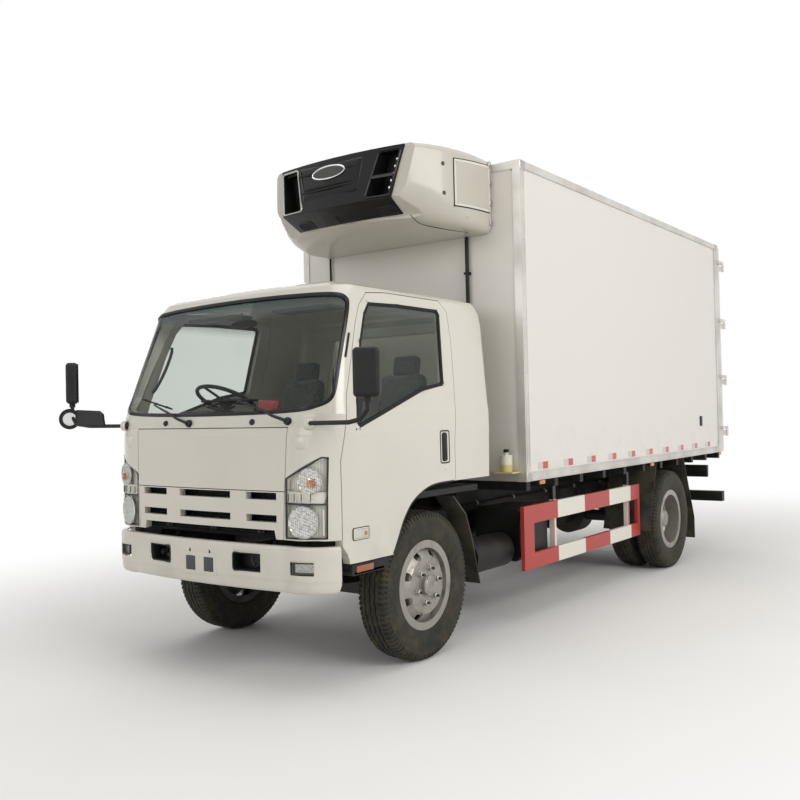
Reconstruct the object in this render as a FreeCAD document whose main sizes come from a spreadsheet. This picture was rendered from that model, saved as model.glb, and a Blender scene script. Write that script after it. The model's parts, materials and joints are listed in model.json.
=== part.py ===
import FreeCAD, Part
import Sketcher
import math
import os
import re

# Refrigerated truck: cab-over chassis, tilting cab and insulated box body.
# Millimetres. X runs to the truck's left, Y to its tail, Z up from the ground.
# Inside this file Y is counted from the front axle; every leaf object is moved by SHIFT,
# so that the finished truck is centred on the origin along its length.

Vector = FreeCAD.Vector
doc = FreeCAD.newDocument("refrigerated_truck")
sheet = doc.addObject("Spreadsheet::Sheet", "Dims")

SIZES = (  # name, millimetres
    ("wheelbase", 4120),
    ("front_overhang", 1100),     # front axle to the face of the bumper
    ("box_overhang", 1865),       # rear axle to the back face of the rear doors
    # wheels
    ("tyre_radius", 487),
    ("tyre_width", 220),
    ("tread_width", 172),
    ("shoulder_radius", 462),
    ("belly_radius", 380),
    ("bead_radius", 254),
    ("rim_radius", 292),
    ("rim_half", 88),
    ("rim_flange", 8),
    ("rim_wall", 12),
    ("front_track_half", 847),
    ("rear_outer_half", 1005),
    ("dual_spacing", 275),
    ("hub_radius", 62),
    ("mount_radius", 185),
    ("hand_hole_radius", 27),
    ("hand_hole_circle", 208),
    ("drum_radius", 195),
    ("drum_wall", 15),
    # axles and steering
    ("kingpin_half", 735),
    ("kingpin_radius", 22),
    ("eye_radius", 42),
    ("eye_height", 90),
    ("pin_clearance", 1.5),
    ("gap", 5),                   # between pieces that move past each other
    ("spindle_radius", 35),
    ("arm_pin_back", 165),        # the arms point straight back, so the rod stays square
    ("arm_drop", 93),             # wheel centre to the steering arms' underside
    ("tie_rod_radius", 13),
    ("beam_half_depth", 38),
    ("axle_tube_radius", 58),
    ("differential_radius", 190),
    # frame
    ("rail_outer", 425),
    ("rail_flange", 70),
    ("rail_bottom", 640),
    ("rail_top", 850),
    ("rail_wall", 8),
    ("frame_front", 1010),
    ("frame_tail", 75),           # end of the rails ahead of the box's rear frame
    ("cross_member", 60),
    ("sill_top", 1010),
    ("bearer_width", 60),
    # drive line
    ("engine_half_width", 300),
    ("engine_front", 520),
    ("engine_length", 1000),
    ("engine_bottom", 505),
    ("engine_top", 1035),
    ("gearbox_length", 670),
    ("gearbox_half_width", 150),
    ("shaft_height", 520),
    ("shaft_radius", 42),
    ("tank_length", 950),
    ("tank_start", 1250),
    ("tank_bottom", 430),
    ("tank_top", 830),
    ("tank_inner", 535),
    ("tank_outer", 930),
    ("battery_length", 460),
    ("air_tank_radius", 130),
    ("silencer_radius", 115),
    ("silencer_length", 800),
    # cab
    ("cab_half_width", 1000),
    ("cab_skin", 45),
    ("glass_depth", 6),
    ("glass_thick", 6),
    ("seam", 5),
    ("cab_tail", 770),
    ("lid_top", 1545),
    ("lid_bottom", 1176),
    ("front_bottom", 893),
    ("floor_bottom", 1060),
    ("floor_top", 1100),
    ("floor_half_width", 948),
    ("back_seam", 650),
    ("roof_seam", 2392),
    ("tilt_back", 1000),          # tilt axis ahead of the front axle
    ("tilt_height", 740),
    ("tilt_clear", 156),          # the cab stays outside this radius round the tilt axis
    ("bumper_clear", 150),        # the bumper's upper part stays inside this one
    ("tilt_pin_radius", 16),
    ("tilt_arm_inner", 432),
    ("tilt_arm_outer", 462),
    ("bumper_bottom", 585),
    ("bumper_top", 860),
    ("bumper_wall", 40),
    ("wheel_tube", 14),
    ("steering_wheel_radius", 215),
    # box body
    ("box_gap", 1120),            # front axle to the box's front wall
    ("box_half_width", 1095),
    ("box_bottom", 1082),
    ("box_top", 3500),
    ("box_wall", 80),
    ("box_front_wall", 100),
    ("box_roof", 100),
    ("box_floor", 110),
    ("box_trim", 8),
    ("side_rail_height", 70),
    ("post_width", 62),
    ("top_rail_height", 60),
    ("rear_frame_depth", 85),
    ("door_thickness", 75),
    ("door_seal", 5),             # rear frame to doors
    ("door_inset", 12),           # door edges inside the box's outline
    ("hinge_out", 20),            # hinge axis outside the box's side
    ("hinge_back", 35),           # hinge axis behind the doors' face
    ("knuckle_radius", 14),
    ("lock_bar_radius", 13),
    ("lock_bar_inset", 190),
    # running gear on the body
    ("guard_outer", 1000),
    ("guard_thick", 32),
    ("guard_start", 1230),
    ("guard_end", 3540),
    ("guard_bottom", 390),
    ("guard_top", 880),
    ("guard_bar", 140),
    ("underrun_bottom", 510),
    ("underrun_top", 624),
)
for row, (alias, value) in enumerate(SIZES, 1):
    cell = f"A{row}"
    sheet.set(cell, str(value))
    sheet.setAlias(cell, alias)
doc.recompute()

TAIL = "(wheelbase + box_overhang)"      # back face of the rear doors
SHIFT = f"(front_overhang - {TAIL} - hinge_back - knuckle_radius) / 2"


def dim(name):
    """A size as a number, read from the sheet."""
    return float(sheet.get(name))


def shift():
    tail = dim("wheelbase") + dim("box_overhang") + dim("hinge_back") + dim("knuckle_radius")
    return (dim("front_overhang") - tail) / 2


def bind(text):
    """The sheet's names in an expression become references to its cells."""
    return re.sub(r"[a-z_]+", lambda word: "Dims." + word.group(), str(text))


def flip(side, span):
    """A span of two X expressions on the left (1) or right (-1) side."""
    low, high = span
    return (low, high) if side > 0 else (f"-({high})", f"-({low})")


def place(obj, x="0", y="0", z="0"):
    """Bind an object's position; Y also takes the common shift."""
    for axis, text in (("x", x), ("y", f"{y} + {SHIFT}"), ("z", z)):
        obj.setExpression(f"Placement.Base.{axis}", bind(text))


def block(name, xs, ys, zs):
    """A box between pairs of X, Y and Z expressions."""
    box = doc.addObject("Part::Box", name)
    for prop, (low, high) in (("Length", xs), ("Width", ys), ("Height", zs)):
        box.setExpression(prop, bind(f"({high}) - ({low})"))
    place(box, xs[0], ys[0], zs[0])
    return box


TURNS = {"X": FreeCAD.Rotation(Vector(0, 1, 0), 90),
         "Y": FreeCAD.Rotation(Vector(1, 0, 0), -90),
         "Z": FreeCAD.Rotation()}


def rod(name, axis, radius, span, x="0", y="0", z="0"):
    """A round bar along X, Y or Z between two expressions."""
    bar = doc.addObject("Part::Cylinder", name)
    bar.Placement = FreeCAD.Placement(Vector(), TURNS[axis])
    bar.setExpression("Radius", bind(radius))
    bar.setExpression("Height", bind(f"({span[1]}) - ({span[0]})"))
    start = {"X": x, "Y": y, "Z": z}
    start[axis] = span[0]
    place(bar, start["X"], start["Y"], start["Z"])
    return bar


def cut(name, base, *tools):
    tool = tools[0] if len(tools) == 1 else fuse(name + "_tools", *tools)
    result = doc.addObject("Part::Cut", name)
    result.Base, result.Tool = base, tool
    return result


def fuse(name, *parts):
    result = doc.addObject("Part::MultiFuse", name)
    result.Shapes = list(parts)
    return result


def common(name, *parts):
    result = doc.addObject("Part::MultiCommon", name)
    result.Shapes = list(parts)
    return result


PLANES = {"side": ("YZ_Plane", "x"), "front": ("XZ_Plane", "y"), "plan": ("XY_Plane", "z")}


def outline_sketch(body, plane, points):
    """A closed sketch whose corners are bound to pairs of expressions."""
    sketch = body.newObject("Sketcher::SketchObject", body.Name + "_outline")
    origin = [f for f in body.Origin.OriginFeatures if f.Role == plane][0]
    sketch.AttachmentSupport = [(origin, "")]
    sketch.MapMode = "FlatFace"
    count = len(points)
    circle = [Vector(math.cos(6.28 * i / count), math.sin(6.28 * i / count), 0)
              for i in range(count)]
    for i in range(count):
        sketch.addGeometry(Part.LineSegment(circle[i], circle[(i + 1) % count]), False)
    for i in range(count):
        sketch.addConstraint(Sketcher.Constraint("Coincident", i, 2, (i + 1) % count, 1))
    for i, (across, up) in enumerate(points):
        for kind, text in (("DistanceX", across), ("DistanceY", up)):
            index = sketch.addConstraint(Sketcher.Constraint(kind, -1, 1, i, 1, 1.0))
            sketch.setExpression(f"Constraints[{index}]", bind(text))
    return sketch


def prism(name, view, points, span):
    """A PartDesign pad of an outline seen from the side, the front or above."""
    plane, axis = PLANES[view]
    body = doc.addObject("PartDesign::Body", name)
    sketch = outline_sketch(body, plane, points)
    pad = body.newObject("PartDesign::Pad", name + "_pad")
    pad.Profile = sketch
    pad.setExpression("Length", bind(f"({span[1]}) - ({span[0]})"))
    # the front plane's normal points to -Y, so that pad ends at the far Y
    place(body, **{axis: span[1] if view == "front" else span[0]})
    return body


def turned(name, points, z="0", y="0"):
    """A PartDesign revolution about X of an outline of (x, radius) pairs."""
    body = doc.addObject("PartDesign::Body", name)
    sketch = outline_sketch(body, "XZ_Plane", points)
    spin = body.newObject("PartDesign::Revolution", name + "_spin")
    spin.Profile = sketch
    spin.ReferenceAxis = (sketch, ["H_Axis"])
    spin.Angle = 360
    place(body, y=y, z=z)
    return body


def formed(name, shape):
    """A shape worked out in code, in the front axle's frame."""
    feature = doc.addObject("Part::Feature", name)
    feature.Shape = shape
    feature.Placement = FreeCAD.Placement(Vector(0, shift(), 0), FreeCAD.Rotation())
    return feature


NODES = []


def node(label, obj):
    """Name a finished sub-part; its file takes this name."""
    obj.Label = label
    NODES.append(obj)
    return obj


SIDES = (("left", 1), ("right", -1))
WHEEL_Z = "tyre_radius"
ARM_BOTTOM = "(tyre_radius - arm_drop)"
REAR = "wheelbase"


# ---------------------------------------------------------------- wheels

def mirrored(points, side):
    return [(f"{side} * ({x})", r) for x, r in points]


def tyre(name, centre, side, y):
    """One tyre: beads between the rim's flanges, bellied walls and a flat tread."""
    half = [("rim_half - rim_flange - 1", "bead_radius"),
            ("rim_half - rim_flange - 1", "rim_radius + 4"),
            ("tyre_width / 2", "belly_radius"),
            ("tyre_width / 2 - 6", "shoulder_radius"),
            ("tread_width / 2", "tyre_radius")]
    ring = [(f"{centre} + {x}", r) for x, r in half]
    ring += [(f"{centre} - ({x})", r) for x, r in reversed(half)]
    return turned(name, mirrored(ring, side), WHEEL_Z, y)


def barrel(name, centre, side, y):
    """The rim's barrel with its two flanges."""
    inner, seat = "bead_radius - rim_wall", "bead_radius - 1"
    lip = "rim_half - rim_flange"
    ring = [("-rim_half", inner), ("rim_half", inner), ("rim_half", "rim_radius"),
            (lip, "rim_radius"), (lip, seat), (f"-({lip})", seat),
            (f"-({lip})", "rim_radius"), ("-rim_half", "rim_radius")]
    return turned(name, mirrored([(f"{centre} + {x}", r) for x, r in ring], side), WHEEL_Z, y)


def disc(name, joins, face, side, y):
    """The wheel disc: from the barrel at X joins to the bolting face at X face."""
    wall, edge = "rim_wall", "bead_radius - rim_wall + 1"
    ring = [(joins, edge), (f"{joins} + {wall}", edge), (f"{face} + {wall}", "mount_radius"),
            (f"{face} + {wall}", "hub_radius - 2"), (face, "hub_radius - 2"),
            (face, "mount_radius - 5")]
    return turned(name, mirrored(ring, side), WHEEL_Z, y)


def hand_holes(name, span, side, y, count=8):
    """Round holes through the disc, as a ring of bars."""
    bars = []
    for i in range(count):
        turn = 2 * math.pi * (i + 0.5) / count
        across, up = round(math.cos(turn), 5), round(math.sin(turn), 5)
        bars.append(rod(f"{name}_{i}", "X", "hand_hole_radius", flip(side, span),
                        y=f"{y} + hand_hole_circle * {across}",
                        z=f"{WHEEL_Z} + hand_hole_circle * {up}"))
    return fuse(name, *bars)


def hub(name, inner, mouth, nose, bore, side, y, radius):
    """A hub: open bore from inner to mouth, closed nose."""
    ring = [(inner, bore), (inner, radius), (f"{nose} - 10", radius),
            (nose, f"{radius} - 12"), (nose, "0"), (mouth, "0"), (mouth, bore)]
    return turned(name, mirrored(ring, side), WHEEL_Z, y)


def drum(name, start, end, side, y):
    """A brake drum: a cup open towards the middle of the truck."""
    inner = "drum_radius - drum_wall"
    ring = [(start, inner), (start, "drum_radius"), (end, "drum_radius"), (end, "hub_radius - 2"),
            (f"{end} - drum_wall", "hub_radius - 2"), (f"{end} - drum_wall", inner)]
    return turned(name, mirrored(ring, side), WHEEL_Z, y)


def front_wheel(side_name, side):
    centre = "front_track_half"
    node(f"front_{side_name}_tyre", tyre(f"FrontTyre{side_name}", centre, side, "0"))
    tag = f"Front{side_name}"
    face = f"{centre} + 84"
    dish = cut(tag + "Dish", disc(tag + "Disc", f"{centre} + 42", face, side, "0"),
               hand_holes(tag + "Holes", (centre, f"{centre} + 120"), side, "0"))
    node(f"front_{side_name}_rim", fuse(
        tag + "Rim", barrel(tag + "Barrel", centre, side, "0"), dish,
        hub(tag + "Hub", f"{centre} - 30", f"{centre} + 88", f"{centre} + 128",
            "spindle_radius + gap", side, "0", "hub_radius"),
        drum(tag + "Drum", f"{centre} - 78", f"{centre} + 85", side, "0")))


def rear_wheels(side_name, side):
    outer, inner = "rear_outer_half", "rear_outer_half - dual_spacing"
    middle = "rear_outer_half - dual_spacing / 2"
    tag = f"Rear{side_name}"
    node(f"rear_{side_name}_tyres", fuse(tag + "Tyres", tyre(tag + "TyreOut", outer, side, REAR),
                                         tyre(tag + "TyreIn", inner, side, REAR)))
    out_disc = disc(tag + "DiscOut", f"{outer} - 60", f"{middle} + 2", side, REAR)
    in_disc = disc(tag + "DiscIn", f"{inner} + 60 - rim_wall", f"{middle} - 2 - rim_wall",
                   side, REAR)
    dish = cut(tag + "Dish", fuse(tag + "Discs", out_disc, in_disc),
               hand_holes(tag + "Holes", (inner, outer), side, REAR))
    plate = block(tag + "Plate", flip(side, (f"{middle} - 3", f"{middle} + 3")),
                  (f"{REAR} - 60", f"{REAR} + 60"), (f"{WHEEL_Z} - 60", f"{WHEEL_Z} + 60"))
    core = hub(tag + "Hub", f"{inner} - 30", f"{outer} - 5", f"{outer} + 35",
               "axle_tube_radius + gap", side, REAR, "axle_tube_radius + gap + 22")
    spare = rod(tag + "Bore", "X", "axle_tube_radius + gap", flip(side, (inner, f"{outer} - 5")),
                y=REAR, z=WHEEL_Z)
    node(f"rear_{side_name}_rims", cut(
        tag + "Rims", fuse(tag + "RimParts", barrel(tag + "BarrelOut", outer, side, REAR),
                           barrel(tag + "BarrelIn", inner, side, REAR), dish, plate, core,
                           drum(tag + "Drum", f"{inner} - 75", f"{middle} - 12", side, REAR)),
        spare))


# ---------------------------------------------------------------- axles and steering

def front_axle():
    eye_low, eye_high = f"{WHEEL_Z} - eye_height / 2", f"{WHEEL_Z} + eye_height / 2"
    half = [("0", "380", "470"), ("560", "380", "470"),
            ("680", f"{eye_low} + 3", f"{eye_high} - 3"),
            ("kingpin_half - 25", f"{eye_low} + 3", f"{eye_high} - 3")]
    lower = [(x, low) for x, low, high in half]
    upper = [(x, high) for x, low, high in half]
    ring = [(f"-({x})", z) for x, z in reversed(lower[1:])] + lower
    ring += [(x, z) for x, z in reversed(upper)] + [(f"-({x})", z) for x, z in upper[1:]]
    beam = prism("Beam", "front", ring, ("-beam_half_depth", "beam_half_depth"))
    eyes, bores = [], []
    for side_name, side in SIDES:
        x = f"{side} * kingpin_half"
        eyes.append(rod(f"Eye{side_name}", "Z", "eye_radius", (eye_low, eye_high), x=x))
        bores.append(rod(f"Bore{side_name}", "Z", "kingpin_radius + pin_clearance",
                         (f"{eye_low} - 20", f"{eye_high} + 20"), x=x))
    node("front_axle", cut("FrontAxle", fuse("AxleBeam", beam, *eyes), *bores))


def knuckle(side_name, side):
    """Steering knuckle: kingpin fork, spindle and steering arm."""
    tag = f"Knuckle{side_name}"
    eye_low, eye_high = f"{WHEEL_Z} - eye_height / 2", f"{WHEEL_Z} + eye_height / 2"
    top, wide = f"{eye_high} + gap + 43", "eye_radius"
    ear = flip(side, ("kingpin_half - eye_radius + 4", "kingpin_half + 64"))
    web = flip(side, ("kingpin_half + eye_radius + 8", "kingpin_half + 65"))
    pin_x = f"{side} * kingpin_half"
    arm = [("kingpin_half - 30", "20"), ("kingpin_half + 30", "20"),
           ("kingpin_half + 20", "arm_pin_back"), ("kingpin_half + 10", "arm_pin_back + 20"),
           ("kingpin_half - 10", "arm_pin_back + 20"), ("kingpin_half - 20", "arm_pin_back")]
    parts = [
        block(tag + "Web", web, (f"-{wide}", wide), (ARM_BOTTOM, top)),
        block(tag + "Top", ear, (f"-{wide} + 2", f"{wide} - 2"), (f"{eye_high} + gap", top)),
        block(tag + "Foot", ear, (f"-{wide} + 2", f"{wide} - 2"),
              (ARM_BOTTOM, f"{eye_low} - gap")),
        rod(tag + "Pin", "Z", "kingpin_radius", (ARM_BOTTOM, top), x=pin_x),
        rod(tag + "Spindle", "X", "spindle_radius",
            flip(side, ("kingpin_half + 60", "front_track_half + 80")), z=WHEEL_Z),
        prism(tag + "Arm", "plan", [(f"{side} * ({x})", y) for x, y in arm],
              (ARM_BOTTOM, f"{ARM_BOTTOM} + 26"))]
    node(f"{side_name}_knuckle", fuse(tag, *parts))


def tie_rod():
    """The rod under the two steering arms, with a ball boss at each end."""
    z = f"{ARM_BOTTOM} - gap - tie_rod_radius - 4"
    parts = [rod("TieBar", "X", "tie_rod_radius", ("-kingpin_half", "kingpin_half"),
                 y="arm_pin_back", z=z)]
    for side_name, side in SIDES:
        parts.append(rod(f"TieBoss{side_name}", "Z", "22",
                         (f"{z} - 18", f"{ARM_BOTTOM} - gap"), x=f"{side} * kingpin_half",
                         y="arm_pin_back"))
    node("tie_rod", fuse("TieRod", *parts))


def rear_axle():
    reach = "rear_outer_half - 15"
    parts = [rod("AxleTube", "X", "axle_tube_radius", (f"-({reach})", reach), y=REAR, z=WHEEL_Z),
             rod("Differential", "Y", "differential_radius", (f"{REAR} - 120", f"{REAR} + 130"),
                 z=WHEEL_Z),
             rod("PinionNose", "Y", "85", (f"{REAR} - 300", f"{REAR} - 110"), z=WHEEL_Z)]
    for side_name, side in SIDES:
        inner = "rear_outer_half - dual_spacing"
        plate = flip(side, (f"{inner} - 92", f"{inner} - 82"))
        parts.append(rod(f"BackPlate{side_name}", "X", "drum_radius", plate, y=REAR, z=WHEEL_Z))
        seat = flip(side, ("rail_outer + 5", "rail_outer + 75"))
        parts.append(block(f"SpringSeat{side_name}", seat, (f"{REAR} - 60", f"{REAR} + 60"),
                           (WHEEL_Z, f"{WHEEL_Z} + axle_tube_radius + 10")))
    node("rear_axle", fuse("RearAxle", *parts))


def leaf(half_length, bottom, rise, thick):
    """One spring leaf seen from the side: two parallel arcs closed by short ends."""
    low = Part.Arc(Vector(0, -half_length, bottom + rise), Vector(0, 0, bottom),
                   Vector(0, half_length, bottom + rise)).toShape()
    top = Part.Arc(Vector(0, half_length, bottom + rise + thick), Vector(0, 0, bottom + thick),
                   Vector(0, -half_length, bottom + rise + thick)).toShape()
    ends = [Part.makeLine(Vector(0, s * half_length, bottom + rise),
                          Vector(0, s * half_length, bottom + rise + thick)) for s in (1, -1)]
    return Part.Face(Part.Wire(Part.__sortEdges__([low, top] + ends)))


def spring(x_low, x_high, y, base, half_length, hanger_top, leaves=4, thick=11):
    """A leaf pack on its seat, with eyes and hangers up to the frame."""
    rise = 95.0
    solids = []
    for i in range(leaves):
        reach = half_length * (1 - 0.2 * (leaves - 1 - i))
        lift = rise * (reach / half_length) ** 2
        face = leaf(reach, base + i * thick, lift, thick)
        solids.append(face.extrude(Vector(x_high - x_low, 0, 0)))
    pack = solids[0].multiFuse(solids[1:])
    pack.translate(Vector(x_low, y, 0))
    eye_z = base + leaves * thick + rise
    fittings = []
    for s in (1, -1):
        eye = Part.makeCylinder(24, x_high - x_low, Vector(x_low, y + s * half_length, eye_z),
                                Vector(1, 0, 0))
        hanger = Part.makeBox(x_high - x_low, 50, hanger_top - eye_z,
                              Vector(x_low, y + s * half_length - 25, eye_z))
        fittings += [eye, hanger]
    return pack.multiFuse(fittings)


def leaf_springs():
    solids = []
    z = dim("tyre_radius")
    for side in (1, -1):
        rail, flange = dim("rail_outer"), dim("rail_flange")
        xs = sorted((side * (rail - flange + 5), side * (rail - 3)))
        solids.append(spring(xs[0], xs[1], 0, 470.5, 560, dim("rail_bottom")))
        xs = sorted((side * (rail + 8), side * (rail + 70)))
        seat = z + dim("axle_tube_radius") + 10.5
        solids.append(spring(xs[0], xs[1], dim("wheelbase"), seat, 650, seat + 220))
    node("leaf_springs", formed("Springs", Part.makeCompound(solids)))


# ---------------------------------------------------------------- frame and drive line

CROSS_MEMBERS = ("-970", "1290", "2100", "2950", "3560", "wheelbase + 520", f"{TAIL} - 420")
BEARERS = 11
FRAME_END = f"{TAIL} - frame_tail - rear_frame_depth"


def chassis_frame():
    """The ladder frame: two channels, cross members and the cab's tilt pins."""
    wall, out = "rail_wall", "rail_outer"
    low, high, lip = "rail_bottom", "rail_top", "rail_outer - rail_flange"
    parts = []
    for side_name, side in SIDES:
        ring = [(out, low), (out, high), (lip, high), (lip, f"{high} - {wall}"),
                (f"{out} - {wall}", f"{high} - {wall}"), (f"{out} - {wall}", f"{low} + {wall}"),
                (lip, f"{low} + {wall}"), (lip, low)]
        ring = [(f"{side} * ({x})", z) for x, z in ring]
        parts.append(prism(f"Rail{side_name}", "front", ring, ("-frame_front", FRAME_END)))
        parts.append(rod(f"TiltPin{side_name}", "X", "tilt_pin_radius",
                         flip(side, (f"{out} - 4", "tilt_arm_outer + 14")),
                         y="-tilt_back", z="tilt_height"))
    for i, y in enumerate(CROSS_MEMBERS):
        parts.append(block(f"Cross{i}", (f"-{out} + {wall} - 2", f"{out} - {wall} + 2"),
                           (y, f"{y} + cross_member"), (f"{low} + 20", f"{high} - 20")))
    node("chassis_frame", fuse("Frame", *parts))


def box_bearers():
    """Long sills on the frame and the cross bearers under the box."""
    parts = []
    for side_name, side in SIDES:
        parts.append(block(f"Sill{side_name}",
                           flip(side, ("rail_outer - rail_flange", "rail_outer")),
                           ("box_gap + 60", FRAME_END), ("rail_top", "sill_top")))
    for i in range(BEARERS):
        y = f"box_gap + 40 + ({TAIL} - rear_frame_depth - 140 - box_gap) * {i} / {BEARERS - 1}"
        parts.append(block(f"Bearer{i}", ("-box_half_width + 30", "box_half_width - 30"),
                           (y, f"{y} + bearer_width"), ("sill_top", "box_bottom")))
    node("box_bearers", fuse("BoxBearers", *parts))


def drive_line():
    back = "-engine_front + engine_length"
    gearbox_end = f"{back} + gearbox_length"
    engine = block("Engine", ("-engine_half_width", "engine_half_width"),
                   ("-engine_front", back), ("engine_bottom", "engine_top"))
    gearbox = block("Gearbox", ("-gearbox_half_width", "gearbox_half_width"),
                    (back, gearbox_end), ("shaft_height - 110", "shaft_height + 150"))
    node("engine_block", fuse("EngineBlock", engine, gearbox))
    node("propeller_shaft", rod("PropShaft", "Y", "shaft_radius",
                                (f"{gearbox_end} + 2", f"{REAR} - 302"), z="shaft_height"))


def tank_with_straps(name, xs_out, length, start, low, high, side):
    """A rounded tank beside a rail, on two straps that reach the rail."""
    body = block(name + "Shell", flip(side, xs_out), (start, f"{start} + {length}"), (low, high))
    rounded = doc.addObject("Part::Fillet", name + "Round")
    rounded.Base = body
    rounded.Edges = [(i, 45.0, 45.0) for i in (2, 4, 6, 8)]
    straps = []
    for i, share in enumerate(("0.2", "0.8")):
        y = f"{start} + {length} * {share}"
        straps.append(block(f"{name}Strap{i}", flip(side, ("rail_outer", f"{xs_out[0]} + 20")),
                            (f"{y} - 25", f"{y} + 25"), ("rail_bottom + 40", "rail_top - 40")))
    return fuse(name, rounded, *straps)


def tanks():
    xs = ("tank_inner", "tank_outer")
    node("fuel_tank", tank_with_straps("FuelTank", xs, "tank_length", "tank_start",
                                       "tank_bottom", "tank_top", -1))
    node("battery_box", tank_with_straps("BatteryBox", xs, "battery_length", "tank_start + 30",
                                         "tank_bottom + 20", "tank_top + 30", 1))
    air = rod("AirTank", "Y", "air_tank_radius", ("700", "tank_start - 20"),
              x="tank_outer - air_tank_radius - 20", z="tank_bottom + air_tank_radius - 10")
    hook = block("AirTankHook", ("rail_outer", "tank_outer - air_tank_radius - 60"),
                 ("900", "960"), ("rail_bottom", "rail_bottom + 25"))
    node("air_tank", fuse("AirTankSet", air, hook))
    start = "tank_start + tank_length + 200"
    pipe = rod("Silencer", "Y", "silencer_radius", (start, f"{start} + silencer_length"),
               x="-tank_inner - silencer_radius - 25", z="rail_bottom")
    hook = block("SilencerHook", ("-tank_inner - 60", "-rail_outer"),
                 (f"{start} + 350", f"{start} + 420"), ("rail_bottom + 20", "rail_bottom + 60"))
    node("exhaust_silencer", fuse("SilencerSet", pipe, hook))


# ---------------------------------------------------------------- cab

CAB_SECTIONS = (  # z, half width, nose y, brow x, brow y, cheek y, tail y beyond cab_tail
    (700, 0, -1056, 715, -1031, -786, 0),
    (1180, 0, -1056, 715, -1031, -786, 5),
    (1500, -2, -1050, 715, -1020, -790, 20),
    (1620, -12, -1030, 745, -991, -815, 35),
    (1690, -25, -1002, 785, -956, -806, 42),
    (2250, -112, -778, 800, -752, -662, 110),
    (2330, -125, -746, 786, -728, -627, 100),
    (2385, -138, -716, 745, -692, -560, 68),
)
ROOF = {"rise": 105, "side": 760, "front": 330, "corner": 1.3, "back": 230, "steps": 6}
HEADER = (2200, 2385)           # the skin's thickness turns from sideways to downwards here


def roof_sections():
    """The roof above the last section: quarter ellipses towards a low crown."""
    z, half, nose, brow_x, brow_y, cheek, tail = CAB_SECTIONS[-1]
    rows = []
    for i in range(1, ROOF["steps"] + 1):
        turn = math.radians(80) * i / ROOF["steps"]
        rise, inset = math.sin(turn), 1 - math.cos(turn)
        front = ROOF["front"] * inset
        rows.append((z + ROOF["rise"] * rise, half - ROOF["side"] * inset, nose + front,
                     brow_x - 0.88 * ROOF["side"] * inset, brow_y + ROOF["corner"] * front,
                     cheek + 0.9 * ROOF["corner"] * front, tail - ROOF["back"] * inset))
    return tuple(rows)


def cab_ring(section, depth):
    """One level of the cab: bowed front, round front corners, straight sides and back."""
    z, narrow, nose, brow_x, brow_y, cheek, tail = section
    half = dim("cab_half_width") + narrow - depth
    back = dim("cab_tail") + tail - depth
    nose, brow_y = nose + depth, brow_y + depth
    brow_x, cheek = brow_x - 0.4 * depth, cheek + 0.3 * depth
    level = z - depth * min(max((z - HEADER[0]) / (HEADER[1] - HEADER[0]), 0), 1)
    corner = 60.0

    def at(x, y):
        return Vector(x, y, level)

    bulge_x = brow_x + 0.72 * (half - brow_x)
    bulge_y = cheek + 0.72 * (brow_y - cheek)
    edges = []
    left_front = Part.Arc(at(brow_x, brow_y), at(bulge_x, bulge_y), at(half, cheek))
    right_front = Part.Arc(at(-half, cheek), at(-bulge_x, bulge_y), at(-brow_x, brow_y))
    round_in = corner * (1 - math.sqrt(0.5))
    left_back = Part.Arc(at(half, back - corner), at(half - round_in, back - round_in),
                         at(half - corner, back))
    right_back = Part.Arc(at(-(half - corner), back), at(-(half - round_in), back - round_in),
                          at(-half, back - corner))
    edges.append(Part.Arc(at(-brow_x, brow_y), at(0, nose), at(brow_x, brow_y)).toShape())
    edges.append(left_front.toShape())
    edges.append(Part.makeLine(at(half, cheek), at(half, back - corner)))
    edges.append(left_back.toShape())
    edges.append(Part.makeLine(at(half - corner, back), at(-(half - corner), back)))
    edges.append(right_back.toShape())
    edges.append(Part.makeLine(at(-half, back - corner), at(-half, cheek)))
    edges.append(right_front.toShape())
    return Part.Wire(edges)


def cab_solid(depth):
    """The cab's whole outer form, moved inwards by depth."""
    rings = [cab_ring(s, depth) for s in CAB_SECTIONS + roof_sections()]
    return Part.makeLoft(rings, True, True)


def cab_band(outer, inner):
    """The layer of the cab between two depths."""
    return cab_solid(outer).cut(cab_solid(inner))


def flat_prism(view, points, low, high, grow=0.0):
    """A straight-sided outline, grown by a margin, between two stations."""
    if view == "side":
        corners = [Vector(low, y, z) for y, z in points]
        push = Vector(high - low, 0, 0)
    else:
        corners = [Vector(x, low, z) for x, z in points]
        push = Vector(0, high - low, 0)
    wire = Part.makePolygon(corners + corners[:1])
    face = Part.Face(wire)
    if grow:
        face = face.makeOffset2D(grow, 2)
    return face.extrude(push)


def sight_prism(points, low, high, grow=0.0):
    """An outline at y = -800, grown by a margin, whose sides all run towards one point."""
    corners = [Vector(x, -800, z) for x, z in points]
    face = Part.Face(Part.makePolygon(corners + corners[:1]))
    if grow:
        face = face.makeOffset2D(grow, 2)
    corners = [v.Point for v in face.OuterWire.OrderedVertexes]
    rings = []
    for y in (low, high):
        scale = (SIGHT.y - y) / (SIGHT.y + 800)
        rings.append([SIGHT + (c - SIGHT) * scale for c in corners])
    near, far = (ring + ring[:1] for ring in rings)
    faces = [Part.Face(Part.makePolygon(ring)) for ring in (near, far)]
    for k in range(len(corners)):
        quad = [near[k], near[k + 1], far[k + 1], far[k], near[k]]
        faces.append(Part.Face(Part.makePolygon(quad)))
    solid = Part.Solid(Part.Shell(faces))
    if solid.Volume < 0:
        solid.reverse()
    return solid


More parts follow.
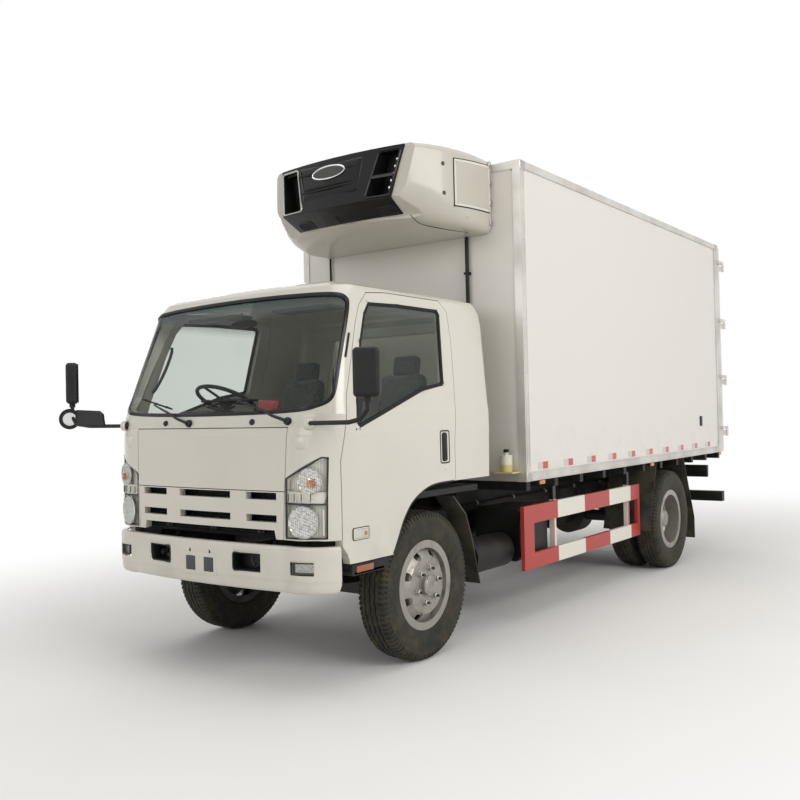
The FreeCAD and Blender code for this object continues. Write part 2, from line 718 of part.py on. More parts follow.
DOOR = ((-838, 750), (-843, 780), (-854, 810), (-881, 850), (-881, 1345), (-809, 1727),
        (-720, 1945), (-636, 2158), (-572, 2283), (-480, 2366), (-276, 2384), (327, 2384),
        (402, 2312), (398, 2105), (357, 1824), (288, 1431), (280, 720), (-820, 720))
WINDOW = ((-480, 2309), (-167, 2321), (285, 2321), (308, 2290), (271, 2059), (230, 1798),
          (-25, 1757), (-325, 1662), (-765, 1520), (-730, 1705), (-621, 2053), (-542, 2235))
WINDSCREEN = ((-659, 1675), (-400, 1670), (400, 1670), (659, 1675), (746, 1682), (806, 1693),
              (864, 1709), (890, 1737), (901, 1776), (917, 1956), (931, 2116), (942, 2268),
              (941, 2300), (930, 2334), (905, 2351), (850, 2362), (720, 2373), (425, 2383),
              (-425, 2383), (-720, 2373), (-850, 2362), (-905, 2351), (-930, 2334),
              (-941, 2300), (-942, 2268), (-931, 2116), (-917, 1956), (-901, 1776),
              (-890, 1737), (-864, 1709), (-806, 1693), (-746, 1682))  # drawn at y = -800
SIGHT = Vector(0, 1200, 2000)  # the point inside the cab that the screen's edges run towards
BACK_WINDOW = ((-560, 1760), (560, 1760), (540, 2220), (-540, 2220))
LAMP = ((670, 899), (929, 903), (936, 1373), (905, 1377), (675, 1252))
UNDERSIDE = ((-1400, 500), (-1400, 893), (-884, 893), (-884, 750), (-431, 750), (-384, 830),
             (-309, 956), (-214, 1053), (-77, 1119), (63, 1147), (268, 1152), (1200, 1152),
             (1200, 500))
FRONT_SLOTS = ((-606, -365), (-232, 232), (365, 606))
SLOT_ROWS = ((1122, 1165), (990, 1033))


def lid_outline():
    low, high = dim("lid_bottom"), dim("lid_top")
    return ((-668, low), (668, low), (683, high), (-683, high))


def grille_outline():
    low, top = dim("front_bottom"), dim("lid_bottom") - dim("seam")
    return ((-655, low), (-600, low), (-588, 945), (588, 945), (600, low), (655, low),
            (666, top), (-666, top))


def front_opening():
    """The grille's whole outline with the air intake between its legs."""
    return tuple(p for p in grille_outline() if abs(p[0]) > 650)


def large(shape, least=2e5):
    """The shape without the slivers that crossing outlines leave."""
    return Part.makeCompound([s for s in shape.Solids if s.Volume > least])


def clear_of_tilt():
    """What the cab has to leave free: the underside and the round space at the tilt axis."""
    wide = 1200
    under = flat_prism("side", UNDERSIDE, -wide, wide)
    pivot = Part.makeCylinder(dim("tilt_clear"), 2 * wide,
                              Vector(-wide, -dim("tilt_back"), dim("tilt_height")),
                              Vector(1, 0, 0))
    return under.fuse(pivot)


def cab_panels():
    """The welded shell and every panel cut from the same skin."""
    seam, depth = dim("seam"), dim("cab_skin")
    skin = cab_band(0, depth).cut(clear_of_tilt())
    far, wide, high = 1500, 1200, 2600
    back_seam, roof_seam = dim("back_seam"), dim("roof_seam")
    roof_box = Part.makeBox(2 * wide, 3000, high, Vector(-wide, -far, roof_seam))
    back_box = Part.makeBox(2 * wide, 800, roof_seam - 500, Vector(-wide, back_seam, 500))
    node("cab_roof", formed("CabRoof", skin.common(roof_box)))
    window = flat_prism("front", BACK_WINDOW, 500, 1200)
    node("cab_back_panel", formed("CabBack", skin.common(back_box).cut(window)))
    pane = cab_band(20, 20 + dim("glass_thick"))
    pane = pane.common(flat_prism("front", BACK_WINDOW, 500, 1200, -1.0))
    node("rear_window", formed("RearWindow", pane))
    shell = skin.cut(roof_box).cut(back_box)
    glass = cab_band(dim("glass_depth"), dim("glass_depth") + dim("glass_thick"))
    openings = [sight_prism(WINDSCREEN, -far, -300)]
    openings.append(flat_prism("front", lid_outline(), -far, -800, seam))
    openings.append(flat_prism("front", front_opening(), -far, -800, seam))
    lamps = []
    for side_name, side in SIDES:
        inner, outer = sorted((side * 600, side * wide))
        door = flat_prism("side", DOOR, inner, outer)
        openings.append(flat_prism("side", DOOR, inner, outer, seam))
        window = flat_prism("side", WINDOW, inner, outer)
        panel = shell.common(door).cut(window)
        node(f"{side_name}_door", formed(f"Door{side_name}", panel))
        pane = glass.common(flat_prism("side", WINDOW, inner, outer, -1.0))
        node(f"{side_name}_door_window", formed(f"DoorWindow{side_name}", pane))
        lamp = tuple((side * x, z) for x, z in LAMP)
        lamps.append(flat_prism("front", lamp, -far, -893))
    lid = shell.common(flat_prism("front", lid_outline(), -far, -800))
    grille = shell.common(flat_prism("front", grille_outline(), -far, -800))
    slots = [Part.makeBox(x1 - x0, 700, z1 - z0, Vector(x0, -far, z0))
             for z0, z1 in SLOT_ROWS for x0, x1 in FRONT_SLOTS]
    node("front_lid", formed("FrontLid", lid))
    node("grille_panel", formed("Grille", grille.cut(slots[0].multiFuse(slots[1:]))))
    node("headlamps", formed("Headlamps", Part.makeCompound([shell.common(l) for l in lamps])))
    node("cab_shell", formed("CabShell", large(shell.cut(openings + lamps))))
    screen = glass.common(sight_prism(WINDSCREEN, -far, -300, -2.0))
    node("windscreen", formed("Windscreen", screen))


def tilt_arm(side_name, span):
    """A swan-necked arm: from its eye it runs back, low enough to clear the bumper, then up."""
    eye_y, eye_z = "-tilt_back", "tilt_height"
    neck = [(f"{eye_y} - 6", f"{eye_z} - 25"), (f"{eye_y} + 30", f"{eye_z} - 22"),
            ("-838", "795"), ("-818", "850"), ("-818", "floor_bottom + 5"),
            ("-872", "floor_bottom + 5"), ("-872", "890"), (f"{eye_y} + 95", f"{eye_z} + 96"),
            (f"{eye_y} - 10", f"{eye_z} + 24")]
    bar = fuse(f"TiltBar{side_name}", prism(f"TiltNeck{side_name}", "side", neck, span),
               rod(f"TiltEye{side_name}", "X", "26", span, y=eye_y, z=eye_z))
    bore = rod(f"TiltBore{side_name}", "X", "tilt_pin_radius + pin_clearance",
               (f"{span[0]} - 5", f"{span[1]} + 5"), y=eye_y, z=eye_z)
    return cut(f"TiltArm{side_name}", bar, bore)


def cab_floor():
    """Floor, bulkhead, step wells with their boards, and the arms to the tilt pins."""
    half, low, top = "floor_half_width", "floor_bottom", "floor_top"
    slab = block("FloorSlab", (f"-{half}", half), ("-880", "back_seam"), (low, top))
    parts = [block("Bulkhead", ("-640", "640"), ("-955", "-925"), (low, "lid_top")),
             block("FloorNose", ("-640", "640"), ("-955", "-870"), (low, top))]
    holes = []
    for side_name, side in SIDES:
        well = flip(side, ("690", half))
        inside = flip(side, ("710", f"{half} + 20"))
        parts.append(cut(f"Well{side_name}",
                         block(f"WellOut{side_name}", well, ("-838", "-470"), ("765", low)),
                         block(f"WellIn{side_name}", inside, ("-818", "-490"), ("790", low))))
        holes.append(block(f"WellTop{side_name}", inside, ("-818", "-490"), (low, top)))
        holes.append(block(f"FloorCorner{side_name}", flip(side, ("910", f"{half} + 20")),
                           ("-900", "-806"), ("700", "floor_top + 10")))
        board = flip(side, ("780", "960"))
        parts.append(block(f"Step{side_name}", board, ("-815", "-590"), ("690", "740")))
        parts.append(block(f"StepHanger{side_name}", flip(side, ("800", "900")),
                           ("-800", "-600"), ("740", "766")))
        parts.append(tilt_arm(side_name, flip(side, ("tilt_arm_inner", "tilt_arm_outer"))))
        liner = [("-472", "895"), ("-285", "floor_bottom + 2"), ("-305", "floor_bottom + 2"),
                 ("-472", "920")]
        parts.append(prism(f"Liner{side_name}", "side", liner, flip(side, ("700", half))))
    node("cab_floor", cut("CabFloor", fuse("FloorParts", slab, *parts), *holes))


def dashboard():
    ring = [("-895", "1250"), ("-700", "1250"), ("-570", "1350"), ("-525", "1540"),
            ("-600", "1605"), ("-895", "1590")]
    dash = prism("Dash", "side", ring, ("-820", "820"))
    node("dashboard", cut("Dashboard", dash, column("DashHole", 46)))


WHEEL_AT = (-430, -455, 1730)    # centre of the steering wheel


def column(name, radius):
    """The steering column's bar, leaning forward under the wheel."""
    lean = math.radians(28)
    down = Vector(0, -math.sin(lean), -math.cos(lean))
    return formed(name, Part.makeCylinder(radius, 640, Vector(*WHEEL_AT), down))


def steering_wheel():
    lean = math.radians(28)
    up = Vector(0, math.sin(lean), math.cos(lean))
    centre = Vector(*WHEEL_AT)
    radius, tube = dim("steering_wheel_radius"), dim("wheel_tube")
    rim = Part.makeTorus(radius, tube, centre, up)
    boss = Part.makeCylinder(48, 50, centre - up * 40, up)
    spokes = []
    for turn in (10, 170, 270):
        out = Vector(math.cos(math.radians(turn)), 0, 0)
        out += Vector(0, math.cos(lean), -math.sin(lean)) * math.sin(math.radians(turn))
        spokes.append(Part.makeCylinder(9, radius, centre - up * 12, out))
    bar = column("ColumnBar", 32).Shape.copy()
    bar.Placement = FreeCAD.Placement()
    node("steering_wheel", formed("SteeringWheel", rim.multiFuse([boss, bar] + spokes)))


SEATS = (("Driver", -735, -235), ("Middle", -185, 165), ("Passenger", 235, 735))


def seats():
    ring = [("-190", "floor_top"), ("-190", "1400"), ("310", "1385"), ("430", "2030"),
            ("545", "2010"), ("470", "floor_top")]
    chairs = [prism(f"Seat{name}", "side", ring, (str(low), str(high)))
              for name, low, high in SEATS]
    node("seats", fuse("Seats", *chairs))


def tube_run(points, radius):
    """Round tube through points, with a ball at each bend."""
    parts = []
    for a, b in zip(points, points[1:]):
        parts.append(Part.makeCylinder(radius, (b - a).Length, a, b - a))
    parts += [Part.makeSphere(radius, p) for p in points[1:]]
    return parts[0].multiFuse(parts[1:])


MIRRORS = (  # side, head x, y and z, its turn towards the driver, its width and height
    (1, 1310, -1045, 1842, 24, 150, 272),
    (-1, 1385, -1050, 1880, 34, 172, 292),
)
HEAD_DEPTH = 84


def mirror_head(side, x, y, z, turn, wide, tall):
    """A rounded housing, turned so that its glass faces back and inwards."""
    head = Part.makeBox(wide, HEAD_DEPTH, tall, Vector(-wide / 2, -HEAD_DEPTH / 2, -tall / 2))
    head = head.makeFillet(26, head.Edges)
    head.rotate(Vector(), Vector(0, 0, 1), side * turn)
    head.translate(Vector(side * x, y, z))
    return head


def mirrors():
    """Mirror heads on looped arms; the right arm also holds a kerb and a round mirror."""
    sets = []
    for side, x, y, z, turn, wide, tall in MIRRORS:
        def at(across, along, up):
            return Vector(side * across, along, up)
        root = Part.makeSphere(30, at(837, -1005, 1570))
        loop = tube_run([at(832, -1012, 1570), at(1180, -1050, 1572), at(x - 50, y - 4, 1588),
                         at(x, y, 1640), at(x, y, z - 100)], 13)
        pieces = [mirror_head(side, x, y, z, turn, wide, tall), root]
        if side < 0:
            facing = Vector(0.83, -0.56, -0.08)
            pieces.append(Part.makeCylinder(73, 34, at(x + 32, y - 2, 1628), facing))
            kerb = ((-1322, 1586), (-1005, 1574), (-1022, 1655), (-1062, 1678), (-1322, 1690))
            pieces.append(flat_prism("front", kerb, -1062, -1046))
        sets.append(loop.multiFuse(pieces))
    shell = cab_solid(-2.0)
    node("mirrors", formed("Mirrors", Part.makeCompound([s.cut(shell) for s in sets])))


# ---------------------------------------------------------------- bumper and guards

def bumper_form(inset):
    """The bumper seen from above, moved inwards by inset."""
    half = dim("cab_half_width") - inset
    nose = -dim("front_overhang") + inset
    rear = -800

    def at(x, y):
        return Vector(x, y, dim("bumper_bottom"))

    x1, y1 = 690 - 0.4 * inset, -1055 + inset
    y2 = -850 + 0.4 * inset
    mx, my = x1 + 0.72 * (half - x1), y2 + 0.72 * (y1 - y2)
    edges = [Part.Arc(at(-x1, y1), at(0, nose), at(x1, y1)).toShape(),
             Part.Arc(at(x1, y1), at(mx, my), at(half, y2)).toShape(),
             Part.makeLine(at(half, y2), at(half, rear)),
             Part.makeLine(at(half, rear), at(-half, rear)),
             Part.makeLine(at(-half, rear), at(-half, y2)),
             Part.Arc(at(-half, y2), at(-mx, my), at(-x1, y1)).toShape()]
    height = dim("bumper_top") - dim("bumper_bottom")
    return Part.Face(Part.Wire(edges)).extrude(Vector(0, 0, height))


TOW_HOLES = ((-503, -285), (285, 503))
FOG_POCKETS = ((-877, -726), (726, 877))
BUMPER_END = -902


def front_bumper():
    """A curved shell whose upper part and ends stay inside the cab's tilting circle."""
    shell = bumper_form(0).cut(bumper_form(dim("bumper_wall")))
    low, tilt_z = dim("bumper_bottom"), dim("tilt_height")
    reach = Part.makeCylinder(dim("bumper_clear"), 2400,
                              Vector(-1200, -dim("tilt_back"), tilt_z), Vector(1, 0, 0))
    under = Part.makeBox(2400, 150 + dim("bumper_clear"), tilt_z - low,
                         Vector(-1200, -dim("tilt_back") - 150, low))
    shell = shell.common(reach.fuse(under))
    cuts = [Part.makeBox(2400, 200, 400, Vector(-1200, BUMPER_END, low - 10))]
    cuts += [Part.makeBox(x1 - x0, 200, 110, Vector(x0, -1200, 696)) for x0, x1 in TOW_HOLES]
    cuts += [Part.makeBox(x1 - x0, 190, 76, Vector(x0, -1190, 698)) for x0, x1 in FOG_POCKETS]
    shell = shell.cut(cuts)
    mounts = [Part.makeBox(50, 55, 90, Vector(side * 392 - 25, -1065, 602))
              for side in (1, -1)]
    node("front_bumper", formed("FrontBumper", shell.multiFuse(mounts)))


GUARD_POSTS = ("1780", "3312")


def side_guards():
    frames = []
    for side_name, side in SIDES:
        tag = f"Guard{side_name}"
        xs = flip(side, ("guard_outer - guard_thick", "guard_outer"))
        plate = block(tag + "Plate", xs, ("guard_start", "guard_end"),
                      ("guard_bottom", "guard_top"))
        gap = block(tag + "Gap", flip(side, ("guard_outer - 100", "guard_outer + 50")),
                    ("guard_start + guard_bar + 20", "guard_end - 50"),
                    ("guard_bottom + guard_bar - 20", "guard_top - guard_bar"))
        post_x = flip(side, ("guard_outer - guard_thick - 38", "guard_outer - guard_thick"))
        posts = [block(f"{tag}Post{i}", post_x, (y, f"{y} + 48"), ("guard_bottom", "sill_top"))
                 for i, y in enumerate(GUARD_POSTS)]
        frames.append(fuse(tag, cut(tag + "Frame", plate, gap), *posts))
    node("side_guards", fuse("SideGuards", *frames))


def rear_underrun():
    rear = f"{TAIL} - 100"
    bar = block("UnderrunBar", ("-box_half_width - 8", "box_half_width + 8"),
                (f"{rear} - 90", rear), ("underrun_bottom", "underrun_top"))
    legs = [block(f"UnderrunLeg{side_name}", flip(side, ("rail_outer + 1", "rail_outer + 31")),
                  (f"{rear} - 210", f"{rear} - 30"), ("underrun_bottom", "rail_top"))
            for side_name, side in SIDES]
    lamps = [block(f"LampBracket{side_name}", flip(side, ("rail_outer + 25", "968")),
                   (f"{rear} - 190", f"{rear} - 150"), ("795", "rail_top + 50"))
             for side_name, side in SIDES]
    node("rear_underrun_bar", fuse("Underrun", bar, *legs, *lamps))


def mudguards():
    """Leaning plates before and behind the rear wheels, and flaps behind the front ones."""
    parts = []
    for side_name, side in SIDES:
        across = flip(side, ("rear_outer_half - dual_spacing - 120", "box_half_width - 8"))
        front = [("wheelbase - 560", "425"), ("wheelbase - 550", "425"),
                 ("wheelbase - 332", "box_bottom - 4"), ("wheelbase - 342", "box_bottom - 4")]
        back = [("wheelbase + 442", "box_bottom - 4"), ("wheelbase + 452", "box_bottom - 4"),
                ("wheelbase + 743", "425"), ("wheelbase + 743", "205"),
                ("wheelbase + 733", "205"), ("wheelbase + 733", "422")]
        flap = [("330", "1040"), ("350", "1040"), ("500", "900"), ("580", "700"),
                ("665", "390"), ("655", "390"), ("568", "700"), ("488", "895")]
        parts.append(prism(f"GuardFront{side_name}", "side", front, across))
        parts.append(prism(f"GuardBack{side_name}", "side", back, across))
        parts.append(prism(f"Flap{side_name}", "side", flap, flip(side, ("790", "945"))))
        parts.append(block(f"FlapArm{side_name}", flip(side, ("rail_outer", "800")),
                           ("560", "600"), ("690", "730")))
    node("mudguards", fuse("Mudguards", *parts))


# ---------------------------------------------------------------- box body

def box_body():
    half, low, high, wall = "box_half_width - box_trim", "box_bottom", "box_top", "box_wall"
    front, rear = "box_gap", f"{TAIL} - door_thickness - door_seal - rear_frame_depth"
    floor_top = f"{low} + box_floor"
    inner = f"{half} - {wall}"
    node("box_floor", block("BoxFloor", (f"-({inner})", inner),
                            (f"{front} + box_front_wall", rear), (low, floor_top)))
    node("box_front_wall", block("BoxFront", (f"-({inner})", inner),
                                 (front, f"{front} + box_front_wall"), (low, high)))
    for side_name, side in SIDES:
        node(f"box_{side_name}_wall", block(f"BoxWall{side_name}", flip(side, (inner, half)),
                                            (front, rear), (low, high)))
    node("box_roof", block("BoxRoof", (f"-({inner})", inner),
                           (f"{front} + box_front_wall", rear), (f"{high} - box_roof", high)))
    ring = block("RearRing", ("-box_half_width", "box_half_width"),
                 (rear, f"{rear} + rear_frame_depth"), (low, high))
    hole = block("RearHole", (f"-({inner})", inner),
                 (f"{rear} - 10", f"{rear} + rear_frame_depth + 10"),
                 (floor_top, f"{high} - box_roof"))
    lugs = []
    axis_x, axis_y = "box_half_width + hinge_out", f"{TAIL} + hinge_back"
    for side_name, side in SIDES:
        for i, z in enumerate(HINGES):
            top, bottom = f"{z} + 78", f"{z} + 43"
            lugs.append(block(f"Lug{side_name}{i}",
                              flip(side, ("box_half_width - 2", f"{axis_x} + 4")),
                              (f"{rear} + 20", axis_y), (bottom, top)))
            lugs.append(rod(f"LugEye{side_name}{i}", "Z", "knuckle_radius", (bottom, top),
                            x=f"{side} * ({axis_x})", y=axis_y))
    spare = [block(f"LugSpare{side_name}",
                   flip(side, ("box_half_width - 2 - box_wall", "box_half_width + 1")),
                   (f"{rear} + rear_frame_depth", f"{TAIL} + 60"), (low, high))
             for side_name, side in SIDES]
    node("rear_frame", cut("RearFrame", fuse("RearFrameParts", ring, *lugs), hole, *spare))


HINGES = ("1300", "1900", "2560", "3240")    # heights of the rear doors' hinges


def box_trims():
    """Aluminium edge sections outside the walls, as one cage."""
    wide, skin, low, high = "box_half_width", "box_trim", "box_bottom", "box_top"
    front, rear = "box_gap", f"{TAIL} - door_thickness - door_seal - rear_frame_depth"
    parts = []
    for side_name, side in SIDES:
        xs = flip(side, (f"{wide} - {skin}", wide))
        parts.append(block(f"SideRail{side_name}", xs, (front, rear),
                           (low, f"{low} + side_rail_height")))
        parts.append(block(f"TopRail{side_name}", xs, (front, rear),
                           (f"{high} - top_rail_height", high)))
        parts.append(block(f"FrontPost{side_name}", xs, (front, f"{front} + post_width"),
                           (low, high)))
        parts.append(block(f"RearPost{side_name}", xs, (f"{rear} - post_width", rear),
                           (low, high)))
        face = flip(side, (f"{wide} - post_width", wide))
        parts.append(block(f"FrontFace{side_name}", face, (f"{front} - {skin}", front),
                           (low, high)))
    for i, (z0, z1) in enumerate(((low, f"{low} + side_rail_height"),
                                  (f"{high} - top_rail_height", high))):
        parts.append(block(f"FrontRail{i}", (f"-{wide}", wide), (f"{front} - {skin}", front),
                           (z0, z1)))
    node("box_edge_trims", fuse("EdgeTrims", *parts))


def rear_door(side_name, side):
    """A rear door leaf with its hinge straps and lock bar."""
    tag = f"RearDoor{side_name}"
    outer, inner = "box_half_width - door_inset", "4"
    low, high = "box_bottom + door_inset", "box_top - door_inset"
    face = TAIL
    parts = [block(tag + "Leaf", flip(side, (inner, outer)), (f"{face} - door_thickness", face),
                   (low, high))]
    axis_x, axis_y = "box_half_width + hinge_out", f"{face} + hinge_back"
    for i, z in enumerate(HINGES):
        zs = (f"{z} - 38", f"{z} + 38")
        parts.append(block(f"{tag}Strap{i}", flip(side, ("box_half_width - 190", f"{outer} - 6")),
                           (face, f"{face} + 8"), (f"{z} - 30", f"{z} + 30")))
        link = [("box_half_width - 70", f"{face} + 4"), ("box_half_width - 30", f"{face} + 4"),
                (f"{axis_x} - 2", f"{axis_y} - 8"), (f"{axis_x} - 2", f"{axis_y} + 8"),
                (f"{axis_x} - 14", f"{axis_y} + 8")]
        parts.append(prism(f"{tag}Link{i}", "plan", [(f"{side} * ({x})", y) for x, y in link],
                           (f"{z} - 30", f"{z} + 30")))
        parts.append(rod(f"{tag}Knuckle{i}", "Z", "knuckle_radius", zs,
                         x=f"{side} * ({axis_x})", y=axis_y))
    bar_x = f"{side} * lock_bar_inset"
    stand = f"{face} + lock_bar_radius + 8"
    parts.append(rod(tag + "Bar", "Z", "lock_bar_radius", (f"{low} + 10", f"{high} - 10"),
                     x=bar_x, y=stand))
    for i, z in enumerate(("1130", "1500", "2100", "2800", "3440")):
        keeper = flip(side, ("lock_bar_inset - 30", "lock_bar_inset + 30"))
        parts.append(block(f"{tag}Keeper{i}", keeper, (face, stand), (f"{z} - 20", f"{z} + 20")))
    handle = flip(side, ("lock_bar_inset", "lock_bar_inset + 300"))
    parts.append(block(tag + "Handle", handle, (f"{stand} - 6", f"{stand} + 6"),
                       ("1580", "1610")))
    parts.append(block(tag + "HandleRest", flip(side, ("lock_bar_inset + 250",
                                                      "lock_bar_inset + 290")),
                       (face, f"{stand} + 2"), ("1580", "1610")))
    node(f"rear_{side_name}_door", fuse(tag, *parts))


# ---------------------------------------------------------------- refrigeration unit

UNIT_SECTIONS = (  # y ahead of the box's front wall, half width, bottom, top, upper, lower radius
    (4, 844, 2975, 3538, 50, 60),
    (260, 844, 2975, 3545, 60, 80),
    (380, 832, 2979, 3545, 62, 120),
    (500, 804, 2987, 3545, 60, 165),
    (600, 766, 3002, 3544, 55, 195),
    (690, 718, 3026, 3543, 50, 200),
    (770, 662, 3052, 3542, 45, 185),
    (850, 590, 3080, 3540, 40, 150),
)
GRILLE_FOLD = ((342, 3538), (277, 3155), (452, 3063))       # y and z of top, knee and bottom
GRILLE_BOW = 60                 # the middle stands this far ahead of the ends
GRILLE_THICK = 14
GRILLE_OUTLINE = ((-606, 3600), (606, 3600), (520, 3155), (494, 3000), (-494, 3000),
                  (-520, 3155))
INTAKE = ((400, 3508), (574, 3508), (508, 3172), (306, 3172))
INTAKE_BACK = 430               # y of the recess behind each intake


def unit_ring(section):
    """One upright section of the unit: small upper and large lower round corners."""
    ahead, half, low, high, above, below = section
    y = dim("box_gap") - dim("box_trim") - ahead
    corners = ((half, high, -1, -1, above), (half, low, -1, 1, below),
               (-half, low, 1, 1, below), (-half, high, 1, -1, above))
    ends = []
    for x, z, into_x, into_z, radius in corners:
        on_level = Vector(x + into_x * radius, y, z)
        upright = Vector(x, y, z + into_z * radius)
        near = radius * (1 - math.sqrt(0.5))
        middle = Vector(x + into_x * near, y, z + into_z * near)
        turn = (on_level, middle, upright)
        ends.append(turn if x * into_z < 0 else turn[::-1])
    edges = []
    for i, turn in enumerate(ends):
        edges.append(Part.Arc(*turn).toShape())
        edges.append(Part.makeLine(turn[2], ends[(i + 1) % 4][0]))
    return Part.Wire(edges)


def folded(back, front, steps=8, reach=640):
    """The space between two shifts of the grille's folded and bowed face."""
    rings = []
    for i in range(steps + 1):
        x = reach * (2 * i / steps - 1)
        bow = GRILLE_BOW * (1 - (x / reach) ** 2)
        edge = [Vector(x, y + back - bow, z) for y, z in GRILLE_FOLD]
        if front is None:
            far = [Vector(x, -200, GRILLE_FOLD[-1][1] - 300), Vector(x, -200, 3700)]
            edge[0] += Vector(0, 27, 162)
            edge[-1] += Vector(0, 571, -300)
        else:
            far = [Vector(x, y + front - bow, z) for y, z in reversed(GRILLE_FOLD)]
        rings.append(Part.makePolygon(edge + far + edge[:1]))
    return Part.makeLoft(rings, True, True)


def reefer_unit():
    """The condenser housing on the front wall, its folded grille, and the evaporator inside."""
    shell = Part.makeLoft([unit_ring(s) for s in UNIT_SECTIONS], True, True)
    shell = shell.cut(folded(GRILLE_THICK + 1, None))
    recesses = [flat_prism("front", [(side * x, z) for x, z in INTAKE], 0, INTAKE_BACK)
                for name, side in SIDES]
    node("reefer_housing", formed("ReeferHousing", shell.cut(recesses)))
    plate = folded(GRILLE_THICK, 0).common(flat_prism("front", GRILLE_OUTLINE, 0, 700))
    node("reefer_grille", formed("ReeferGrille", plate.cut(recesses)))
    top = "box_top - box_roof - 2"
    node("evaporator", block("Evaporator", ("-620", "620"),
                             ("box_gap + box_front_wall + 2", "box_gap + box_front_wall + 520"),
                             (f"{top} - 230", top)))


HOSES = (  # name, x, radius, bottom, top
    ("Hose", 628, 15, 1180, 2970),
    ("Cable", -770, 9, 1180, 2970),
)


def reefer_hoses():
    """Hose and cable clipped down the front wall, and the service bottle at its foot."""
    parts = []
    for name, x, radius, low, high in HOSES:
        y = f"box_gap - box_trim - {radius} - 4"
        parts.append(rod(name, "Z", radius, (low, high), x=x, y=y))
        for i in range(4):
            z = low + 300 + i * 400
            parts.append(block(f"{name}Clip{i}", (x - radius - 6, x + radius + 6),
                               (f"{y} - {radius} - 3", "box_gap - 1"), (z, z + 18)))
    node("reefer_hoses", fuse("Hoses", *parts))


def service_bottle():
    y = "box_gap - box_trim - 62"
    parts = [rod("BottleBody", "Z", "45", ("1160", "1285"), x="960", y=y),
             rod("BottleNeck", "Z", "18", ("1285", "1320"), x="960", y=y),
             block("BottleShelf", ("880", "1040"), (f"{y} - 55", "box_gap - box_trim - 2"),
                   ("1148", "1160"))]
    node("service_bottle", fuse("Bottle", *parts))


# ---------------------------------------------------------------- build and export

def build():
    chassis_frame()
    box_bearers()
    front_axle()
    rear_axle()
    leaf_springs()
    drive_line()
    tanks()
    front_bumper()
    side_guards()
    rear_underrun()
    mudguards()
    box_body()
    box_trims()
    reefer_unit()
    reefer_hoses()
    service_bottle()
    cab_panels()
    cab_floor()
    dashboard()
    seats()
    steering_wheel()
    mirrors()
    for side_name, side in SIDES:
        rear_door(side_name, side)
        knuckle(side_name, side)
        front_wheel(side_name, side)
        rear_wheels(side_name, side)
    tie_rod()


def check():
    """Stop at any object that failed, or any sub-part without a valid solid."""
    for obj in doc.Objects:
        if "Invalid" in obj.State or "Error" in obj.State:
            raise RuntimeError(f"{obj.Name} ({obj.Label}) failed: {obj.State}")
    for obj in NODES:
        shape = obj.Shape
        if shape.isNull() or not shape.Solids or not shape.isValid():
            raise RuntimeError(f"{obj.Label} has no valid solid")


build()
doc.recompute()
check()
os.makedirs("parts", exist_ok=True)
for sub_part in NODES:
    sub_part.Shape.exportStep(f"parts/{sub_part.Label}.step")
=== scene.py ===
"""Looks of a two-axle refrigerated truck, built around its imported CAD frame.

Metres. X runs to the truck's left, Y to its tail and Z up from the ground. Places that are
counted along the truck are measured from the front axle and go through at().
"""
import json
import math

import bpy
import numpy as np
from bpy.props import FloatProperty, FloatVectorProperty, IntProperty, PointerProperty
from bpy.types import Operator, Panel, PropertyGroup
from mathutils import Matrix, Vector


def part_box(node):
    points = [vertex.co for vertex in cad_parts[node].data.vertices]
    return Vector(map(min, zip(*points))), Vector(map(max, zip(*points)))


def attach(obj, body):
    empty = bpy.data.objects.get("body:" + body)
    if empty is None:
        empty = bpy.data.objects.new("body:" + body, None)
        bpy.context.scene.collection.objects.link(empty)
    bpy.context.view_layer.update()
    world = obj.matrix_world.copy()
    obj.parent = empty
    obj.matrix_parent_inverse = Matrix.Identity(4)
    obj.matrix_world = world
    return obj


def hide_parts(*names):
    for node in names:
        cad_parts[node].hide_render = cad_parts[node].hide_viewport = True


bl_info = {
    "name": "Refrigerated truck looks",
    "version": (1, 0, 0),
    "blender": (4, 5, 0),
    "location": "3D View > Sidebar > Truck",
    "description": "Builds the finish, trim and fittings of a refrigerated truck on its frame",
    "category": "Object",
}

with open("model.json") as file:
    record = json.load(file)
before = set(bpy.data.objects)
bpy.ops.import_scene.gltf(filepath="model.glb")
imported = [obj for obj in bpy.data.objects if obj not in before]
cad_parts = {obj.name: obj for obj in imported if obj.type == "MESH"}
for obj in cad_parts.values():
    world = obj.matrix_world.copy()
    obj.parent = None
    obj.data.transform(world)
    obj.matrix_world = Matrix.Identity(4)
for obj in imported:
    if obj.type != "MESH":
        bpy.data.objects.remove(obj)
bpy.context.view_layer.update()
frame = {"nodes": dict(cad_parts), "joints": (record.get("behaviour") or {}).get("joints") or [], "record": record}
JOINTS = {joint["name"]: joint for joint in frame["joints"]}
AXLE_Y = JOINTS["front_left_spin"]["pos_m"][1]
WHEELBASE = JOINTS["rear_left_spin"]["pos_m"][1] - AXLE_Y


def at(x, y, z):
    """A place in the frame, with y counted from the front axle."""
    return np.array((x, y + AXLE_Y, z), float)


# ---------------------------------------------------------------- shader expressions

